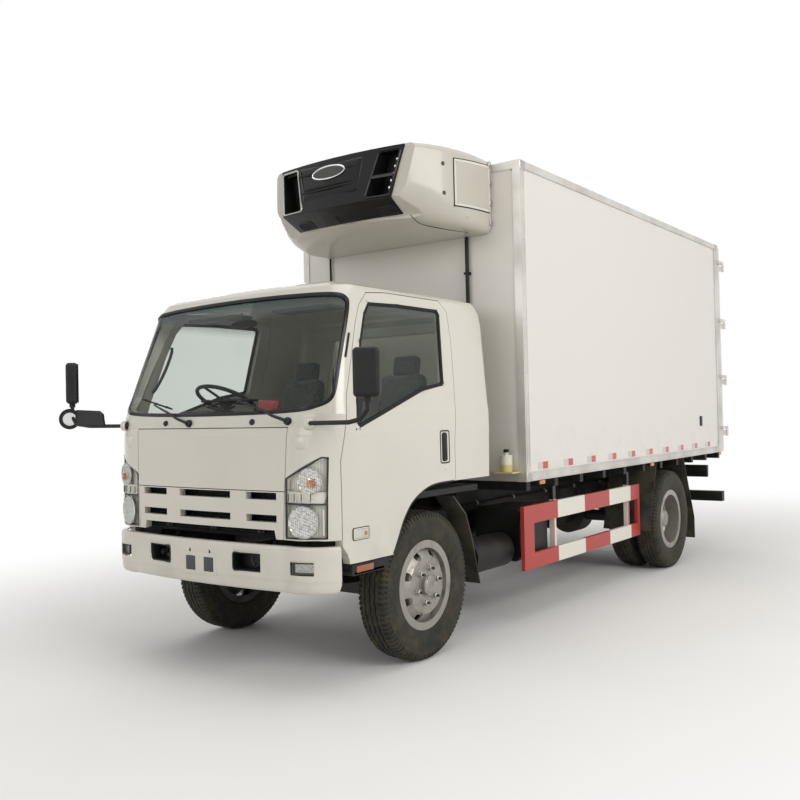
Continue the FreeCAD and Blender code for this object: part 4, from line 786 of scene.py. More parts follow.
CAB_LEVELS = 0.001 * np.array((700, 1180, 1500, 1620, 1690, 2250, 2330, 2385))
CAB_HALF = 0.001 * np.array((1000, 1000, 998, 988, 975, 888, 875, 862))
CAB_PLANS = np.stack([0.001 * cab_plan(*row) for row in zip(
    1000 * CAB_HALF, (-1056, -1056, -1050, -1030, -1002, -778, -746, -716),
    (715, 715, 715, 745, 785, 800, 786, 745),
    (-1031, -1031, -1020, -991, -956, -752, -728, -692),
    (-786, -786, -790, -815, -806, -662, -627, -560))])


def plans_at(height):
    """The cab's plan lines at heights, each blended from the two levels about it."""
    level = np.clip(np.searchsorted(CAB_LEVELS, height) - 1, 0, len(CAB_LEVELS) - 2)
    share = (height - CAB_LEVELS[level]) / (CAB_LEVELS[level + 1] - CAB_LEVELS[level])
    return CAB_PLANS[level] + share[:, None, None] * (CAB_PLANS[level + 1] - CAB_PLANS[level])


def read_lines(key, lines, wanted):
    """The point of each line where its rising key reaches the value that is wanted."""
    place = (key < wanted[:, None]).sum(1).clip(1, lines.shape[1] - 1)
    row = np.arange(len(wanted))
    before, after = key[row, place - 1], key[row, place]
    part = ((wanted - before) / (after - before))[:, None]
    return lines[row, place - 1] + part * (lines[row, place] - lines[row, place - 1])


def cab_front(wanted, z, proud=0.0, by_length=False):
    """Points and normals on the cab's front, moved outwards by proud.

    The plan line at each height is read at an x, or at a length along the skin from its
    middle. The normal is the cross product of the skin's slopes along that line and up it."""
    wanted, z = floats(wanted, z)
    shape = wanted.shape + (3,)

    def place(value, height):
        plan = plans_at(height)
        key = plan[:, :, 0]
        if by_length:
            gap = np.linalg.norm(np.diff(plan, axis=1), axis=2)
            key = np.concatenate((np.zeros((len(gap), 1)), np.cumsum(gap, 1)), 1)
            key -= key[:, plan.shape[1] // 2, None]
        return np.concatenate((read_lines(key, plan, value), height[:, None]), 1)

    value, height = wanted.ravel(), z.ravel()
    step = 0.004
    normal = unit(np.cross(place(value + step, height) - place(value - step, height),
                           place(value, height + step) - place(value, height - step)))
    points = (place(value, height) + (0, AXLE_Y, 0)).reshape(shape)
    normal = normal.reshape(shape)
    return points + normal * np.asarray(proud)[..., None], normal


def cab_side(y, z, side=1, proud=0.0):
    """Points on the flat of the cab's side: its half width is read at each height."""
    y, z = floats(y, z)
    return np.stack((side * (np.interp(z, CAB_LEVELS, CAB_HALF) + proud), y + AXLE_Y, z), -1)


# ---------------------------------------------------------------- user's sizes and colours

def colours():
    return bpy.context.scene.truck_colours


def sizes():
    return bpy.context.scene.truck_sizes


def colour(name, description, *default):
    """A colour that the user sets; its default is given as display values, 0 to 255."""
    return FloatVectorProperty(name=name, description=description, subtype="COLOR", size=3,
                               min=0, max=1, default=paint(*default))


class TruckColours(PropertyGroup):
    """The colours that a user would repaint."""

    cab: colour("Cab paint", "Colour of the cab and bumper", 210, 206, 196)
    box: colour("Box panels", "Colour of the insulated walls", 223, 219, 212)
    unit: colour("Cooling unit", "Colour of the unit's housing", 194, 189, 179)
    guard: colour("Guard stripe", "Colour of the dark stripes", 176, 62, 56)
    dust: colour("Road dust", "Colour of the dust low down", 150, 140, 120)


def length(name, description, default, low, high):
    """A length that the user sets."""
    return FloatProperty(name=name, description=description, default=default, min=low,
                         max=high, unit="LENGTH")


class TruckSizes(PropertyGroup):
    """The sizes of the fittings that a user would change."""

    groove: length("Tread groove", "Depth of the tread's grooves", 0.01, 0.002, 0.016)
    lugs: IntProperty(name="Shoulder lugs", description="Cross bars round each tyre's shoulder",
                      default=88, min=40, max=120)
    border: length("Windscreen border", "Width of the black border", 0.024, 0.01, 0.08)
    tape_gap: length("Tape spacing", "From one tape mark to the next", 0.4425, 0.2, 1.0)
    lamp_height: length("Lens", "Height where the headlamp splits", 1.102, 1.0, 1.2)


SIDES = (("left", 1), ("right", -1))
SLOT_FINISHES = {
    "white_paint": "cab_paint", "box_panel": "box_skin", "edge_aluminium": "edge_aluminium",
    "chassis_paint": "chassis_black", "cast_metal": "cast_metal",
    "spring_steel": "spring_steel", "tyre": "tyre_rubber", "wheel_paint": "wheel_silver",
    "glass": "window_glass", "lamp": "lamp_lens", "black_plastic": "black_plastic",
    "grey_plastic": "grey_plastic", "seat_cloth": "seat_cloth", "rubber": "rubber_seal",
    "unit_shell": "unit_shell", "guard_steel": "guard_stripes",
    "white_plastic": "white_plastic"}
NODE_FINISHES = {"front_bumper": "bumper_paint", "mudguards": "mudflap_rubber",
                 "reefer_grille": "gloss_black", "reefer_hoses": "hose_rubber",
                 "service_bottle": "bottle_milk"}


class TRUCK_OT_finishes(Operator):
    """Give every piece of the frame its finish, by its slot or by its own name"""

    bl_idname = "truck.finishes"
    bl_label = "Finish the frame's pieces"

    def execute(self, context):
        slots = {name: slot.get("slot") for slot in frame["record"]["materials"]
                 for name in slot.get("nodes", ())}
        for name, piece in frame["nodes"].items():
            slot = slots.get(name)
            if slot is None and piece.data.materials:
                slot = piece.data.materials[0].name.split(".")[0]
            finish = NODE_FINISHES.get(name) or SLOT_FINISHES.get(slot)
            if finish is None:
                raise RuntimeError(f"{name} has no finish")
            piece.data.materials.clear()
            piece.data.materials.append(finish_of(finish))
        return {"FINISHED"}


# ---------------------------------------------------------------- wheels

TYRE_RADIUS = 0.487
WHEEL_PLACES = {
    "front_left": (1, 0.0, (0.847,)), "front_right": (-1, 0.0, (0.847,)),
    "rear_left": (1, WHEELBASE, (1.005, 0.73)), "rear_right": (-1, WHEELBASE, (1.005, 0.73))}


def round_hub(hub, radius, start, count=6):
    """Places at equal steps round a hub, the first of them turned on by start steps."""
    turn = 2 * math.pi * (np.arange(count) + start) / count
    return hub + radius * np.stack((0 * turn, np.cos(turn), np.sin(turn)), 1)


def tyre_surface(centre, side, y):
    """A tyre: its section carried round the axle, with the tread cut into it.

    Each point of the section has its own share of three reliefs: the grooves round the
    tread, which weave from side to side as a triangle wave, and the cross bars of the two
    shoulders, which step between full depth and none once per lug."""
    lugs = sizes().lugs
    steps = np.array((0.05, 0.34, 0.44, 0.95))
    turn = 2 * np.pi * (np.arange(lugs)[:, None] + steps).ravel() / lugs
    cut = np.tile((1.0, 1.0, 0.0, 0.0), lugs)
    weave = np.abs((turn * lugs / (2 * np.pi)) / 2 % 1 * 2 - 1) * 2 - 1
    groove = []
    for middle in (-0.038, 0.0, 0.038):
        groove += [(middle - 0.0055, 0, 1), (middle - 0.004, 1, 1),
                   (middle + 0.004, 1, 1), (middle + 0.0055, 0, 1)]
    tread = [(x, TYRE_RADIUS - 0.35 * x ** 2, weight, depth, 0) for x, depth, weight in groove]
    crown = TYRE_RADIUS - 0.35 * 0.06 ** 2
    shoulder = [(0.060, crown, 0, 0, 0), (0.062, crown, 0, 0, 1), (0.075, crown - 0.002, 0, 0, 1),
                (0.088, 0.4805, 0, 0, 1), (0.096, 0.474, 0, 0, 1), (0.1015, 0.466, 0, 0, 1),
                (0.1045, 0.452, 0, 0, 1), (0.1055, 0.446, 0, 0, 0)]
    wall = smooth(((0.1055, 0.444), (0.1085, 0.42), (0.1095, 0.39), (0.1065, 0.35),
                   (0.099, 0.318), (0.09, 0.3), (0.0835, 0.292), (0.0795, 0.28),
                   (0.0793, 0.256)), 4)
    for place, rise in ((5, 0.0012), (6, 0.0012), (18, 0.0016), (19, 0.0016)):
        wall[place, 0] = min(wall[place, 0] + rise, 0.11)
    right = shoulder + [(x, r, 0, 0, 0) for x, r in wall[1:]]
    left = [(-x, *rest) for x, *rest in reversed(right)]
    x, radius, swing, depth, lug = np.array(left + tread + right).T
    cut_share = lug[None] * cut[:, None]
    radius = radius[None] - sizes().groove * depth[None] - 0.0085 * cut_share
    across = x[None] + 0.0042 * swing[None] * weave[:, None] \
        - np.sign(x)[None] * 0.004 * cut_share * (np.abs(x)[None] > 0.09)
    ring = np.stack((centre + side * across, y + AXLE_Y + radius * np.cos(turn)[:, None],
                     TYRE_RADIUS + radius * np.sin(turn)[:, None]), 2)
    return woven(np.concatenate((ring, ring[:1])), ends=False)


class TRUCK_OT_tyres(Operator):
    """Tyres with ribs, weaving grooves and shoulder lugs, in place of the plain ones"""

    bl_idname = "truck.tyres"
    bl_label = "Tyres"

    def execute(self, context):
        for name, (side, y, centres) in WHEEL_PLACES.items():
            twin = "s" if len(centres) > 1 else ""
            tyres = Shape(f"{name}_treaded_tyre{twin}")
            for centre in centres:
                tyres.add(tyre_surface(side * centre, side, y), "tyre_rubber")
            tyres.make(f"{name}_wheel{twin}", (f"{name}_tyre{twin}",), 40)
        return {"FINISHED"}


class TRUCK_OT_wheel_fittings(Operator):
    """Wheel nuts on their studs, hub caps, valves and the rims' rolled lock rings"""

    bl_idname = "truck.wheel_fittings"
    bl_label = "Wheel fittings"

    def execute(self, context):
        stud = ((0.0095, 0.02), (0.0095, 0.04), (0.0075, 0.043), (0, 0.043))
        cap = ((0.064, 0.018), (0.066, 0.021), (0.066, 0.026), (0.0635, 0.0285),
               (0.05, 0.0305), (0.047, 0.0335), (0.03, 0.0345), (0, 0.0345))
        for name, (side, y, centres) in WHEEL_PLACES.items():
            front = len(centres) == 1
            fittings = Shape(f"{name}_wheel_fittings")
            axis = (side, 0, 0)
            face = centres[0] + (0.084 + 0.012 if front else -0.052)
            hub = at(side * face, y, TYRE_RADIUS)
            for place in round_hub(hub, 0.1125, 0.25):
                fittings.add(bolt(place, axis, 0.036, 0.026), "zinc")
                fittings.add(turned(stud, place, axis, 12), "cast_metal")
            if front:
                fittings.add(turned(cap, hub, axis, 40), "wheel_silver")
                for place in round_hub(hub + (side * 0.0302, 0, 0), 0.056, 0):
                    fittings.add(bolt(place, axis, 0.012, 0.004), "zinc")
            reach, lip = ((0.286, centres[0] + 0.082) + 0.0055 * circle(1.0, 12)).T
            turn = np.linspace(0, 2 * np.pi, 97)[:, None]
            rings = np.stack((np.broadcast_to(side * lip, (len(turn), len(lip))),
                              y + AXLE_Y + reach * np.cos(turn),
                              TYRE_RADIUS + reach * np.sin(turn)), 2)
            fittings.add(woven(rings, ends=False), "wheel_silver")
            foot = at(side * (centres[0] + 0.03), y - 0.215, TYRE_RADIUS - 0.06)
            tip = foot + (side * 0.05, 0.03, 0.008)
            path = smooth((foot, (foot + tip) / 2 + (side * 0.008, 0, 0), tip), 6)
            fittings.add(tube(path, 0.004, 8), "zinc")
            fittings.make(f"{name}_wheel{'' if front else 's'}")
        return {"FINISHED"}


# ---------------------------------------------------------------- windscreen and wipers

SCREEN_EDGE = np.array((  # half of the border's outer edge: length along the skin, height
    (0.0, 2.384), (0.3, 2.381), (0.5, 2.376), (0.651, 2.370), (0.795, 2.359), (0.861, 2.346),
    (0.900, 2.325), (0.922, 2.298), (0.932, 2.248), (0.938, 2.168), (0.942, 2.079),
    (0.948, 1.984), (0.954, 1.898), (0.959, 1.830), (0.963, 1.763), (0.956, 1.715),
    (0.931, 1.682), (0.881, 1.661), (0.800, 1.641), (0.6, 1.629), (0.3, 1.623), (0.0, 1.621)))


def screen_line():
    """The border's whole outer edge at about equal steps, starting at the top centre."""
    half = smooth(SCREEN_EDGE, 6)
    line = np.concatenate((half, half[-2:0:-1] * (-1, 1)))
    gap = np.hypot(*(np.roll(line, -1, 0) - line).T)
    length = np.concatenate(((0,), np.cumsum(gap)))
    closed = np.concatenate((line, line[:1]))
    place = np.linspace(0, length[-1], 320, endpoint=False)
    return np.stack([np.interp(place, length, closed[:, i]) for i in (0, 1)], 1)


class TRUCK_OT_windscreen_border(Operator):
    """The rubber-edged black border that follows the cab's skin round the windscreen"""

    bl_idname = "truck.windscreen_border"
    bl_label = "Windscreen border"

    def execute(self, context):
        wide = sizes().border
        rows = inset(screen_line()[::-1], (0, 0.0025, 0.007, wide - 0.004, wide, wide + 0.001))
        proud = np.array((0.0003, 0.003, 0.0035, 0.003, 0.0, -0.012))[:, None, None]
        face, normal = cab_front(rows[:, :, 0], rows[:, :, 1], by_length=True)
        back = face - normal * 0.014
        border = Shape("windscreen_border")
        border.add(band(np.concatenate((face + normal * proud, back[-1:], back[:1]))),
                   "gloss_black")
        height = np.linspace(1.955, 2.10, 10)
        for side in (1, -1):
            face, normal = cab_front(side * (0.972 - 0.06 * (height - 1.955)), height, 0.003,
                                     by_length=True)
            border.add(strip(face, oblong(0.012, 0.012, 0.003), normal.mean(0)),
                       "black_plastic")
        border.make("cab")
        return {"FINISHED"}


def wiper(shape, pivot, joint, ends):
    """One wiper: spindle cap, bowed arm to its joint, and a blade that lies along the glass."""
    shape.add(turned(((0.024, -0.01), (0.024, 0.012), (0.018, 0.024), (0, 0.028)),
                     *cab_front(*pivot), 20), "black_plastic")
    line = np.linspace(pivot, joint, 9)
    arm = cab_front(*line.T, 0.024 + 0.014 * np.sin(np.pi * np.linspace(0, 1, 9)))[0]
    shape.add(tube(smooth(arm, 4), np.linspace(0.010, 0.0055, 33), 10), "black_plastic")
    blade, out = cab_front(*np.linspace(*ends, 25).T)
    outline = rounded(((-0.0045, -0.008), (0.0045, -0.008), (0.006, 0.011), (-0.006, 0.011)),
                      0.002, 2)
    shape.add(strip(blade + out * 0.011, outline, out.mean(0)), "rubber_seal")
    for end in (blade + out * 0.02)[[3, 12, 21]]:
        shape.add(block(end - 0.008, end + 0.008, 0.004, 2), "black_plastic")


class TRUCK_OT_wipers(Operator):
    """Two wipers parked along the foot of the windscreen, and the washer nozzles"""

    bl_idname = "truck.wipers"
    bl_label = "Wipers and nozzles"

    def execute(self, context):
        wipers = Shape("wipers")
        wiper(wipers, (-0.143, 1.578), (-0.534, 1.697), ((-0.699, 1.742), (-0.348, 1.672)))
        wiper(wipers, (0.684, 1.582), (0.268, 1.708), ((-0.058, 1.712), (0.419, 1.710)))
        for x in (-0.386, 0.408):
            wipers.add(turned(((0.019, -0.004), (0.019, 0.006), (0.013, 0.014), (0, 0.017)),
                              *cab_front(x, 1.581), 16), "black_plastic")
        wipers.make("cab")
        return {"FINISHED"}


# ---------------------------------------------------------------- the cab's face

LAMP_EDGE = np.array(((0.670, 0.899), (0.929, 0.903), (0.936, 1.373), (0.905, 1.377),
                      (0.675, 1.252)))


def skin_patch(outline, rows, columns, side, proud):
    """A grid over an outline on the cab's front: each column runs from its foot to its head.

    The foot and head of a column are the outline's lowest and highest crossing at its x."""
    xs = np.linspace(outline[:, 0].min(), outline[:, 0].max(), columns)
    closed = np.concatenate((outline, outline[:1]))
    a, b = closed[:-1, None], closed[1:, None]
    span = b[..., 0] - a[..., 0]
    share = (xs[None] - a[..., 0]) / np.where(np.abs(span) < 1e-9, 1e-9, span)
    height = a[..., 1] + share * (b[..., 1] - a[..., 1])
    inside = (share >= -1e-6) & (share <= 1 + 1e-6)
    foot = np.where(inside, height, np.inf).min(0)
    head = np.where(inside, height, -np.inf).max(0)
    part = np.linspace(0, 1, rows)[:, None]
    return cab_front(side * xs, foot + part * (head - foot), proud)[0]


class TRUCK_OT_headlamps(Operator):
    """Headlamps: stepped bowls, bulbs and a ribbed strip behind clear lenses in dark rims"""

    bl_idname = "truck.headlamps"
    bl_label = "Headlamps"

    def execute(self, context):
        split = sizes().lamp_height
        whole = inset(LAMP_EDGE, (0.004,))[0]
        line = rounded(whole, 0.014, 5)
        bar = np.array(((0.672, split - 0.003), (0.932, split - 0.004),
                        (0.932, split + 0.002), (0.672, split + 0.003)))
        ribbed = np.array(((0.677, split + 0.008), (0.93, split + 0.006),
                           (0.932, split + 0.07), (0.677, split + 0.074)))
        for name, side in SIDES:
            lamp = Shape(f"{name}_headlamp")

            def upright_bar(x, z, half, front, back, finish, edge=0.002, steps=2):
                face = cab_front(side * x, z)[0]
                lamp.add(block(face - (half[0], front, half[1]), face + (half[0], back, half[1]),
                               edge, steps), finish)

            for rows, columns, proud, finish in ((24, 16, -0.036, "lamp_housing"),
                                                 (30, 20, 0.001, "lamp_lens")):
                lamp.add(draped(skin_patch(whole, rows, columns, side, proud),
                                (side * 0.4, -1, 0)), finish)
            for across, lifts, finish in (
                    ((0, 0.001, 0.0045, 0.005), (-0.002, 0.003, 0.003, -0.010), "grey_plastic"),
                    ((0.001, 0.005, 0.009, 0.001), (-0.010, -0.0095, -0.038, -0.038),
                     "lamp_housing")):
                rows = inset(line, across)
                lamp.add(band(cab_front(side * rows[..., 0], rows[..., 1],
                                        np.array(lifts)[:, None])[0]), finish)
            for radius, x, z, depth in ((0.092, 0.80, 1.0, 0.045), (0.074, 0.842, 1.238, 0.04)):
                face = cab_front(side * x, z)[0]
                turn = np.linspace(0.08, 1.0, 12)
                bowl = np.stack((radius * turn, depth * (turn ** 2 - 1) - 0.006), 1)
                rim = ((radius, -0.006), (radius + 0.003, -0.003), (radius + 0.005, -0.008))
                axis = (side * 0.25, -1, 0)
                lamp.add(turned(np.concatenate((bowl, rim)), face, axis, 40), "reflector_bowl")
                bulb = ((0.02, -depth), (0.02, -depth + 0.02), (0.014, -depth + 0.034),
                        (0, -depth + 0.038))
                lamp.add(turned(bulb, face, axis, 20), "chrome")
            for x in (0.84, 0.856, 0.872):
                upright_bar(x, 1.225, (0.003, 0.024), 0.012, -0.002, "amber_lens")
            upright_bar(0.912, 1.0, (0.004, 0.075), 0.006, 0.004, "white_plastic")
            lamp.add(thick_sheet(skin_patch(bar, 3, 16, side, 0.0005), 0.03, (0, -1, 0)),
                     "grey_plastic")
            lamp.add(thick_sheet(skin_patch(ribbed, 5, 16, side, -0.010), 0.012, (0, -1, 0)),
                     "white_plastic")
            for x in (0.705, 0.75, 0.80, 0.855):
                upright_bar(x, split + 0.04, (0.0025, 0.022), 0.01, -0.004, "grey_plastic",
                            0.001, 1)
                lamp.add(turned(((0.007, -0.012), (0.007, -0.005), (0.004, -0.003), (0, -0.0025)),
                                *cab_front(side * x, split + 0.018), 14), "chrome")
            lamp.make("cab", ("headlamps",))
        return {"FINISHED"}


class TRUCK_OT_grille_core(Operator):
    """The radiator's dark mesh behind the slots, and three brackets at its foot"""

    bl_idname = "truck.grille_core"
    bl_label = "Grille mesh"

    def execute(self, context):
        core = Shape("grille_core")
        for z in np.arange(0.90, 1.19, 0.0165):
            core.box("black_plastic", (-0.62, 0.62), (-0.975, -0.965), (z - 0.0015, z + 0.0015),
                     0.0008, 1)
        for x in np.arange(-0.62, 0.621, 0.031):
            core.box("black_plastic", (x - 0.0012, x + 0.0012), (-0.966, -0.96), (0.895, 1.19),
                     0.0006, 1)
        core.box("rubber_seal", (-0.63, 0.63), (-0.948, -0.93), (0.88, 1.195), 0.003)
        for x in (-0.42, 0.0, 0.42):
            core.box("chassis_black", (x - 0.03, x + 0.03), (-0.985, -0.95), (0.91, 0.935),
                     0.004)
            core.add(bolt(at(x, -0.985, 0.922), (0, -1, 0), 0.018, 0.008), "chassis_black")
        core.make("cab")
        return {"FINISHED"}


class TRUCK_OT_lid_details(Operator):
    """The seal along the lid's edge, the cowl strip above it and a domed vane at each side"""

    bl_idname = "truck.lid_details"
    bl_label = "Lid details"

    def execute(self, context):
        seal = Shape("lid_edge_seal")
        path = cab_front(np.linspace(-0.66, 0.66, 60), 1.181, -0.004)[0]
        seal.add(strip(path, oblong(0.006, 0.006, 0.002), (0, 0, 1)), "rubber_seal")
        seal.make("front_lid")
        cowl = Shape("cowl_strip")
        z, rise = np.array(((1.553, 0.0006), (1.557, 0.002), (1.562, 0.0024), (1.569, 0.002),
                            (1.572, 0.0004))).T[..., None]
        cowl.add(draped(cab_front(np.linspace(-0.86, 0.86, 80), z, rise)[0], (0, -1, 0.3)),
                 "cab_paint")
        cowl.make("cab")
        vanes = Shape("air_vanes")
        x, z = np.linspace(0.742, 0.842, 18), np.linspace(1.42, 1.50, 12)[:, None]
        bulge = np.sin(np.linspace(0, np.pi, 18)) ** 0.6 \
            * np.sin(np.linspace(0.0, np.pi, 12) ** 0.9)[:, None].clip(0) ** 0.7
        for side in (1, -1):
            vanes.add(draped(cab_front(side * x, z, 0.017 * bulge - 0.001)[0],
                             (side * 0.3, -1, 0)), "cab_paint")
        vanes.make("cab")
        return {"FINISHED"}


def bumper_face(x, z, ahead=0.0):
    """Points on the bumper's face: its plan line is two arcs, the same at every height."""
    right = np.concatenate((
        arc_through((-0.69, -1.055), (0, -1.1), (0.69, -1.055), 61),
        arc_through((0.69, -1.055), (0.69 + 0.72 * 0.31, -0.85 - 0.72 * 0.205),
                    (1.0, -0.85), 31)[1:]))
    right = right[right[:, 0] > 0]
    return at(x, np.interp(abs(x), right[:, 0], right[:, 1]) - ahead, z)


BUMPER_HOLES = np.array((  # inner and outer x, low and high z: towing eye, fog lamp
    (0.285, 0.503, 0.696, 0.806), (0.726, 0.877, 0.698, 0.774)))


class TRUCK_OT_bumper(Operator):
    """The bumper's pressed skin, with its rolled edges, low crease, and lamp and eye holes"""

    bl_idname = "truck.bumper"
    bl_label = "Bumper"

    def execute(self, context):
        corner = arc_through((0.69, -1.055), (0.913, -0.998), (1.0, -0.85), 61)
        front = arc_through((-0.69, -1.055), (0, -1.1), (0.69, -1.055), 121)
        plan = np.concatenate((corner[:0:-1] * (-1, 1), front, corner[1:]))
        plan = plan[plan[:, 1] < -0.9]
        gaps = np.linalg.norm(np.diff(plan, axis=0), axis=1)
        length = np.concatenate(((0,), np.cumsum(gaps)))
        edges = BUMPER_HOLES[:, :2].ravel()
        marks = np.interp(np.concatenate((-edges, edges)), plan[:, 0], length)
        along = np.unique(np.concatenate((np.linspace(0, length[-1], 190), marks)).round(6))
        path = np.stack([np.interp(along, length, plan[:, i]) for i in (0, 1)], 1)
        slope = unit(np.gradient(path, along, axis=0))
        inward = np.stack((-slope[:, 1], slope[:, 0]), 1)
        depth, z = np.array((
            (0.045, 0.8595), (0.016, 0.8598), (0.007, 0.8575), (0.002, 0.852), (0.0, 0.844),
            (0.0, 0.806), (0.0, 0.79), (0.0, 0.774), (0.0, 0.74), (0.0, 0.698), (0.0, 0.696),
            (0.0, 0.672), (0.0005, 0.662), (0.0035, 0.655), (0.0045, 0.648), (0.0045, 0.64),
            (0.005, 0.62), (0.009, 0.604), (0.018, 0.592), (0.032, 0.5862), (0.045, 0.5852))).T
        turn = 0.05  # radius of the lower corner at each end
        past = np.maximum(turn - np.minimum(along, length[-1] - along), 0)
        lift = turn - np.sqrt(np.maximum(turn ** 2 - past ** 2, 0))
        height = np.maximum(z[:, None], 0.585 + lift[None])
        place = path[None] + depth[:, None, None] * inward[None]
        grid = np.stack((place[..., 0], place[..., 1] + AXLE_Y, height), -1)
        points, (quads,) = draped(grid, (0, -1, 0))
        centre = points[quads].mean(1)
        x, z = np.abs(centre[:, :1]), centre[:, 2:]
        near, far, low, high = BUMPER_HOLES.T
        cut = ((x > near) & (x < far) & (z > low) & (z < high)).any(1)
        bumper = Shape("bumper_skin")
        bumper.add((points, [quads[~cut]]), "bumper_paint")
        piece = bumper.make("chassis", ("front_bumper",), 50)
        wall = piece.modifiers.new("wall", "SOLIDIFY")
        wall.thickness = 0.004
        wall.offset = -1
        return {"FINISHED"}


class TRUCK_OT_bumper_fittings(Operator):
    """Fog lamps, towing eyes in their dark wells, and the plain panel for a plate"""

    bl_idname = "truck.bumper_fittings"
    bl_label = "Bumper fittings"

    def execute(self, context):
        fittings = Shape("bumper_fittings")
        rim = oblong(0.146, 0.071, 0.012)
        hole = oblong(0.2176, 0.1096, 0.02, steps=6)
        for side in (1, -1):
            fog = bumper_face(side * 0.8, 0.736, -0.045), (1, 0.34 * side, 0)
            fittings.add(woven(relief(rim, (0, 0.004, 0.007, 0.01), (0.03, 0.034, 0.03, -0.01),
                                      *fog), ends=False), "grey_plastic")
            fittings.add(woven(relief(rim, (0.01, 0.022, 0.034), (0.012, -0.012, -0.02), *fog)),
                         "zinc")
            fittings.add(upright(oblong(0.12, 0.012, 0.005), -0.018, 0.006, 0.002, 3,
                                 fog[0] - (0, 0, 0.008), fog[1]), "chrome")
            fittings.add(upright(inset(rim, (0.006,))[0], 0.014, 0.018, 0.001, 2, *fog),
                         "lamp_lens")
            hook = at(side * 0.394, -1.0, 0.752)
            turn = np.linspace(-0.4 * np.pi, 1.4 * np.pi, 20)
            eye = hook + 0.034 * np.stack((np.cos(turn), 0 * turn, np.sin(turn)), 1)
            fittings.add(tube(eye, 0.009, 10, up=(0, 1, 0)), "cast_metal")
            fittings.add(block(hook - (0.014, 0.01, 0.055), hook + (0.014, 0.06, -0.03), 0.004),
                         "chassis_black")
            well = bumper_face(side * 0.394, 0.751, -0.004), (1, side * 0.118, 0)
            fittings.add(band(relief(hole, (-0.0045, -0.001, 0.006, 0.010, 0.010, 0.0, 0.0),
                                     (-0.002, 0.0015, 0.0005, -0.012, -0.085, -0.085, -0.008),
                                     *well)), "black_plastic")
            fittings.add(upright(inset(hole, (0.004,))[0], -0.088, -0.084, 0.001, 1, *well),
                         "black_plastic")
        fittings.add(upright(oblong(0.29, 0.135, 0.008), 0, 0.0045, 0.002, 3,
                             bumper_face(0, 0.715, -0.003)), "bumper_paint")
        for side in (1, -1):
            fittings.add(upright(oblong(0.084, 0.088, 0.004), 0, 0.0066, 0.001, 2,
                                 bumper_face(side * 0.082, 0.714, -0.002)), "grey_plastic")
            edge = ((0.017, -0.006), (0.017, 0.0005), (0.0155, 0.001), (0.0, 0.001))
            fittings.add(turned(edge, bumper_face(side * 0.082, 0.79, -0.001), (0, -1, 0), 20),
                         "rubber_seal")
        fittings.make("chassis")
        return {"FINISHED"}


# ---------------------------------------------------------------- doors and mirrors

DOOR_WINDOW = 0.001 * np.array((
    (-480, 2309), (-167, 2321), (285, 2321), (308, 2290), (271, 2059), (230, 1798), (-25, 1757),
    (-325, 1662), (-765, 1520), (-730, 1705), (-621, 2053), (-542, 2235)))


def side_rows(outline, side, across, proud):
    """Rows on the cab's side: an outline's insets, each at its own height over the skin."""
    rows = inset(outline, across)
    return cab_side(rows[..., 0], rows[..., 1], side, np.asarray(proud)[:, None])


class TRUCK_OT_door_fittings(Operator):
    """Window rubbers, handles in their cups, locks and the markers low in the doors"""

    bl_idname = "truck.door_fittings"
    bl_label = "Door fittings"

    def execute(self, context):
        edge = smooth(rounded(DOOR_WINDOW, 0.04, 6), 2, closed=True)
        handle = oblong(0.118, 0.225, 0.022, (0.167, 1.385), 6)
        grip = oblong(0.07, 0.2, 0.02, (0.162, 1.385), 6)
        marker = oblong(0.15, 0.067, 0.012, (-0.74, 0.9175), 5)
        for name, side in SIDES:
            door = Shape(f"{name}_door_fittings")
            for line, across, proud, finish in (
                    (edge, (-0.024, -0.023, 0.0, 0.004), (-0.002, 0.0006, 0.0006, -0.012),
                     "cab_paint"),
                    (edge, (-0.001, 0.002, 0.02, 0.022, 0.022, -0.001),
                     (-0.002, 0.002, 0.001, -0.004, -0.014, -0.014), "rubber_seal"),
                    (handle, (0, 0.003, 0.010, 0.013), (-0.001, 0.002, 0.002, -0.02),
                     "black_plastic")):
                door.add(band(side_rows(line, side, across, proud)), finish)
            for line, across, proud in (
                    (handle, (0.012, 0.02), (-0.014, -0.02)),
                    (grip, (0.0, 0.002, 0.012, 0.02), (-0.018, -0.002, 0.008, 0.010))):
                door.add(woven(side_rows(line, side, across, proud)), "black_plastic")
            door.add(turned(((0.013, -0.004), (0.013, 0.002), (0.010, 0.0035), (0, 0.0035)),
                            cab_side(0.167, 1.245, side), (side, 0, 0), 20), "chrome")
            for across, proud, ends, finish in (
                    ((0, 0.001, 0.006, 0.008), (-0.001, 0.006, 0.009, 0.006), False,
                     "white_plastic"),
                    ((-0.004, -0.0035, 0.0005, 0.001), (-0.001, 0.003, 0.003, -0.001), False,
                     "rubber_seal"),
                    ((0.004, 0.0055, 0.0105), (0.004, 0.013, 0.016), True, "lamp_lens"),
                    ((0.004, 0.0055, 0.0105), (0.0, 0.002, 0.0022), True, "white_plastic")):
                door.add(woven(side_rows(marker, side, across, proud), ends), finish)
            door.add(turned(((0.012, 0), (0.012, 0.007), (0.006, 0.01), (0, 0.011)),
                            cab_side(-0.70, 0.915, side), (side, 0, 0), 16), "amber_lens")
            door.make(f"{name}_door")
        return {"FINISHED"}


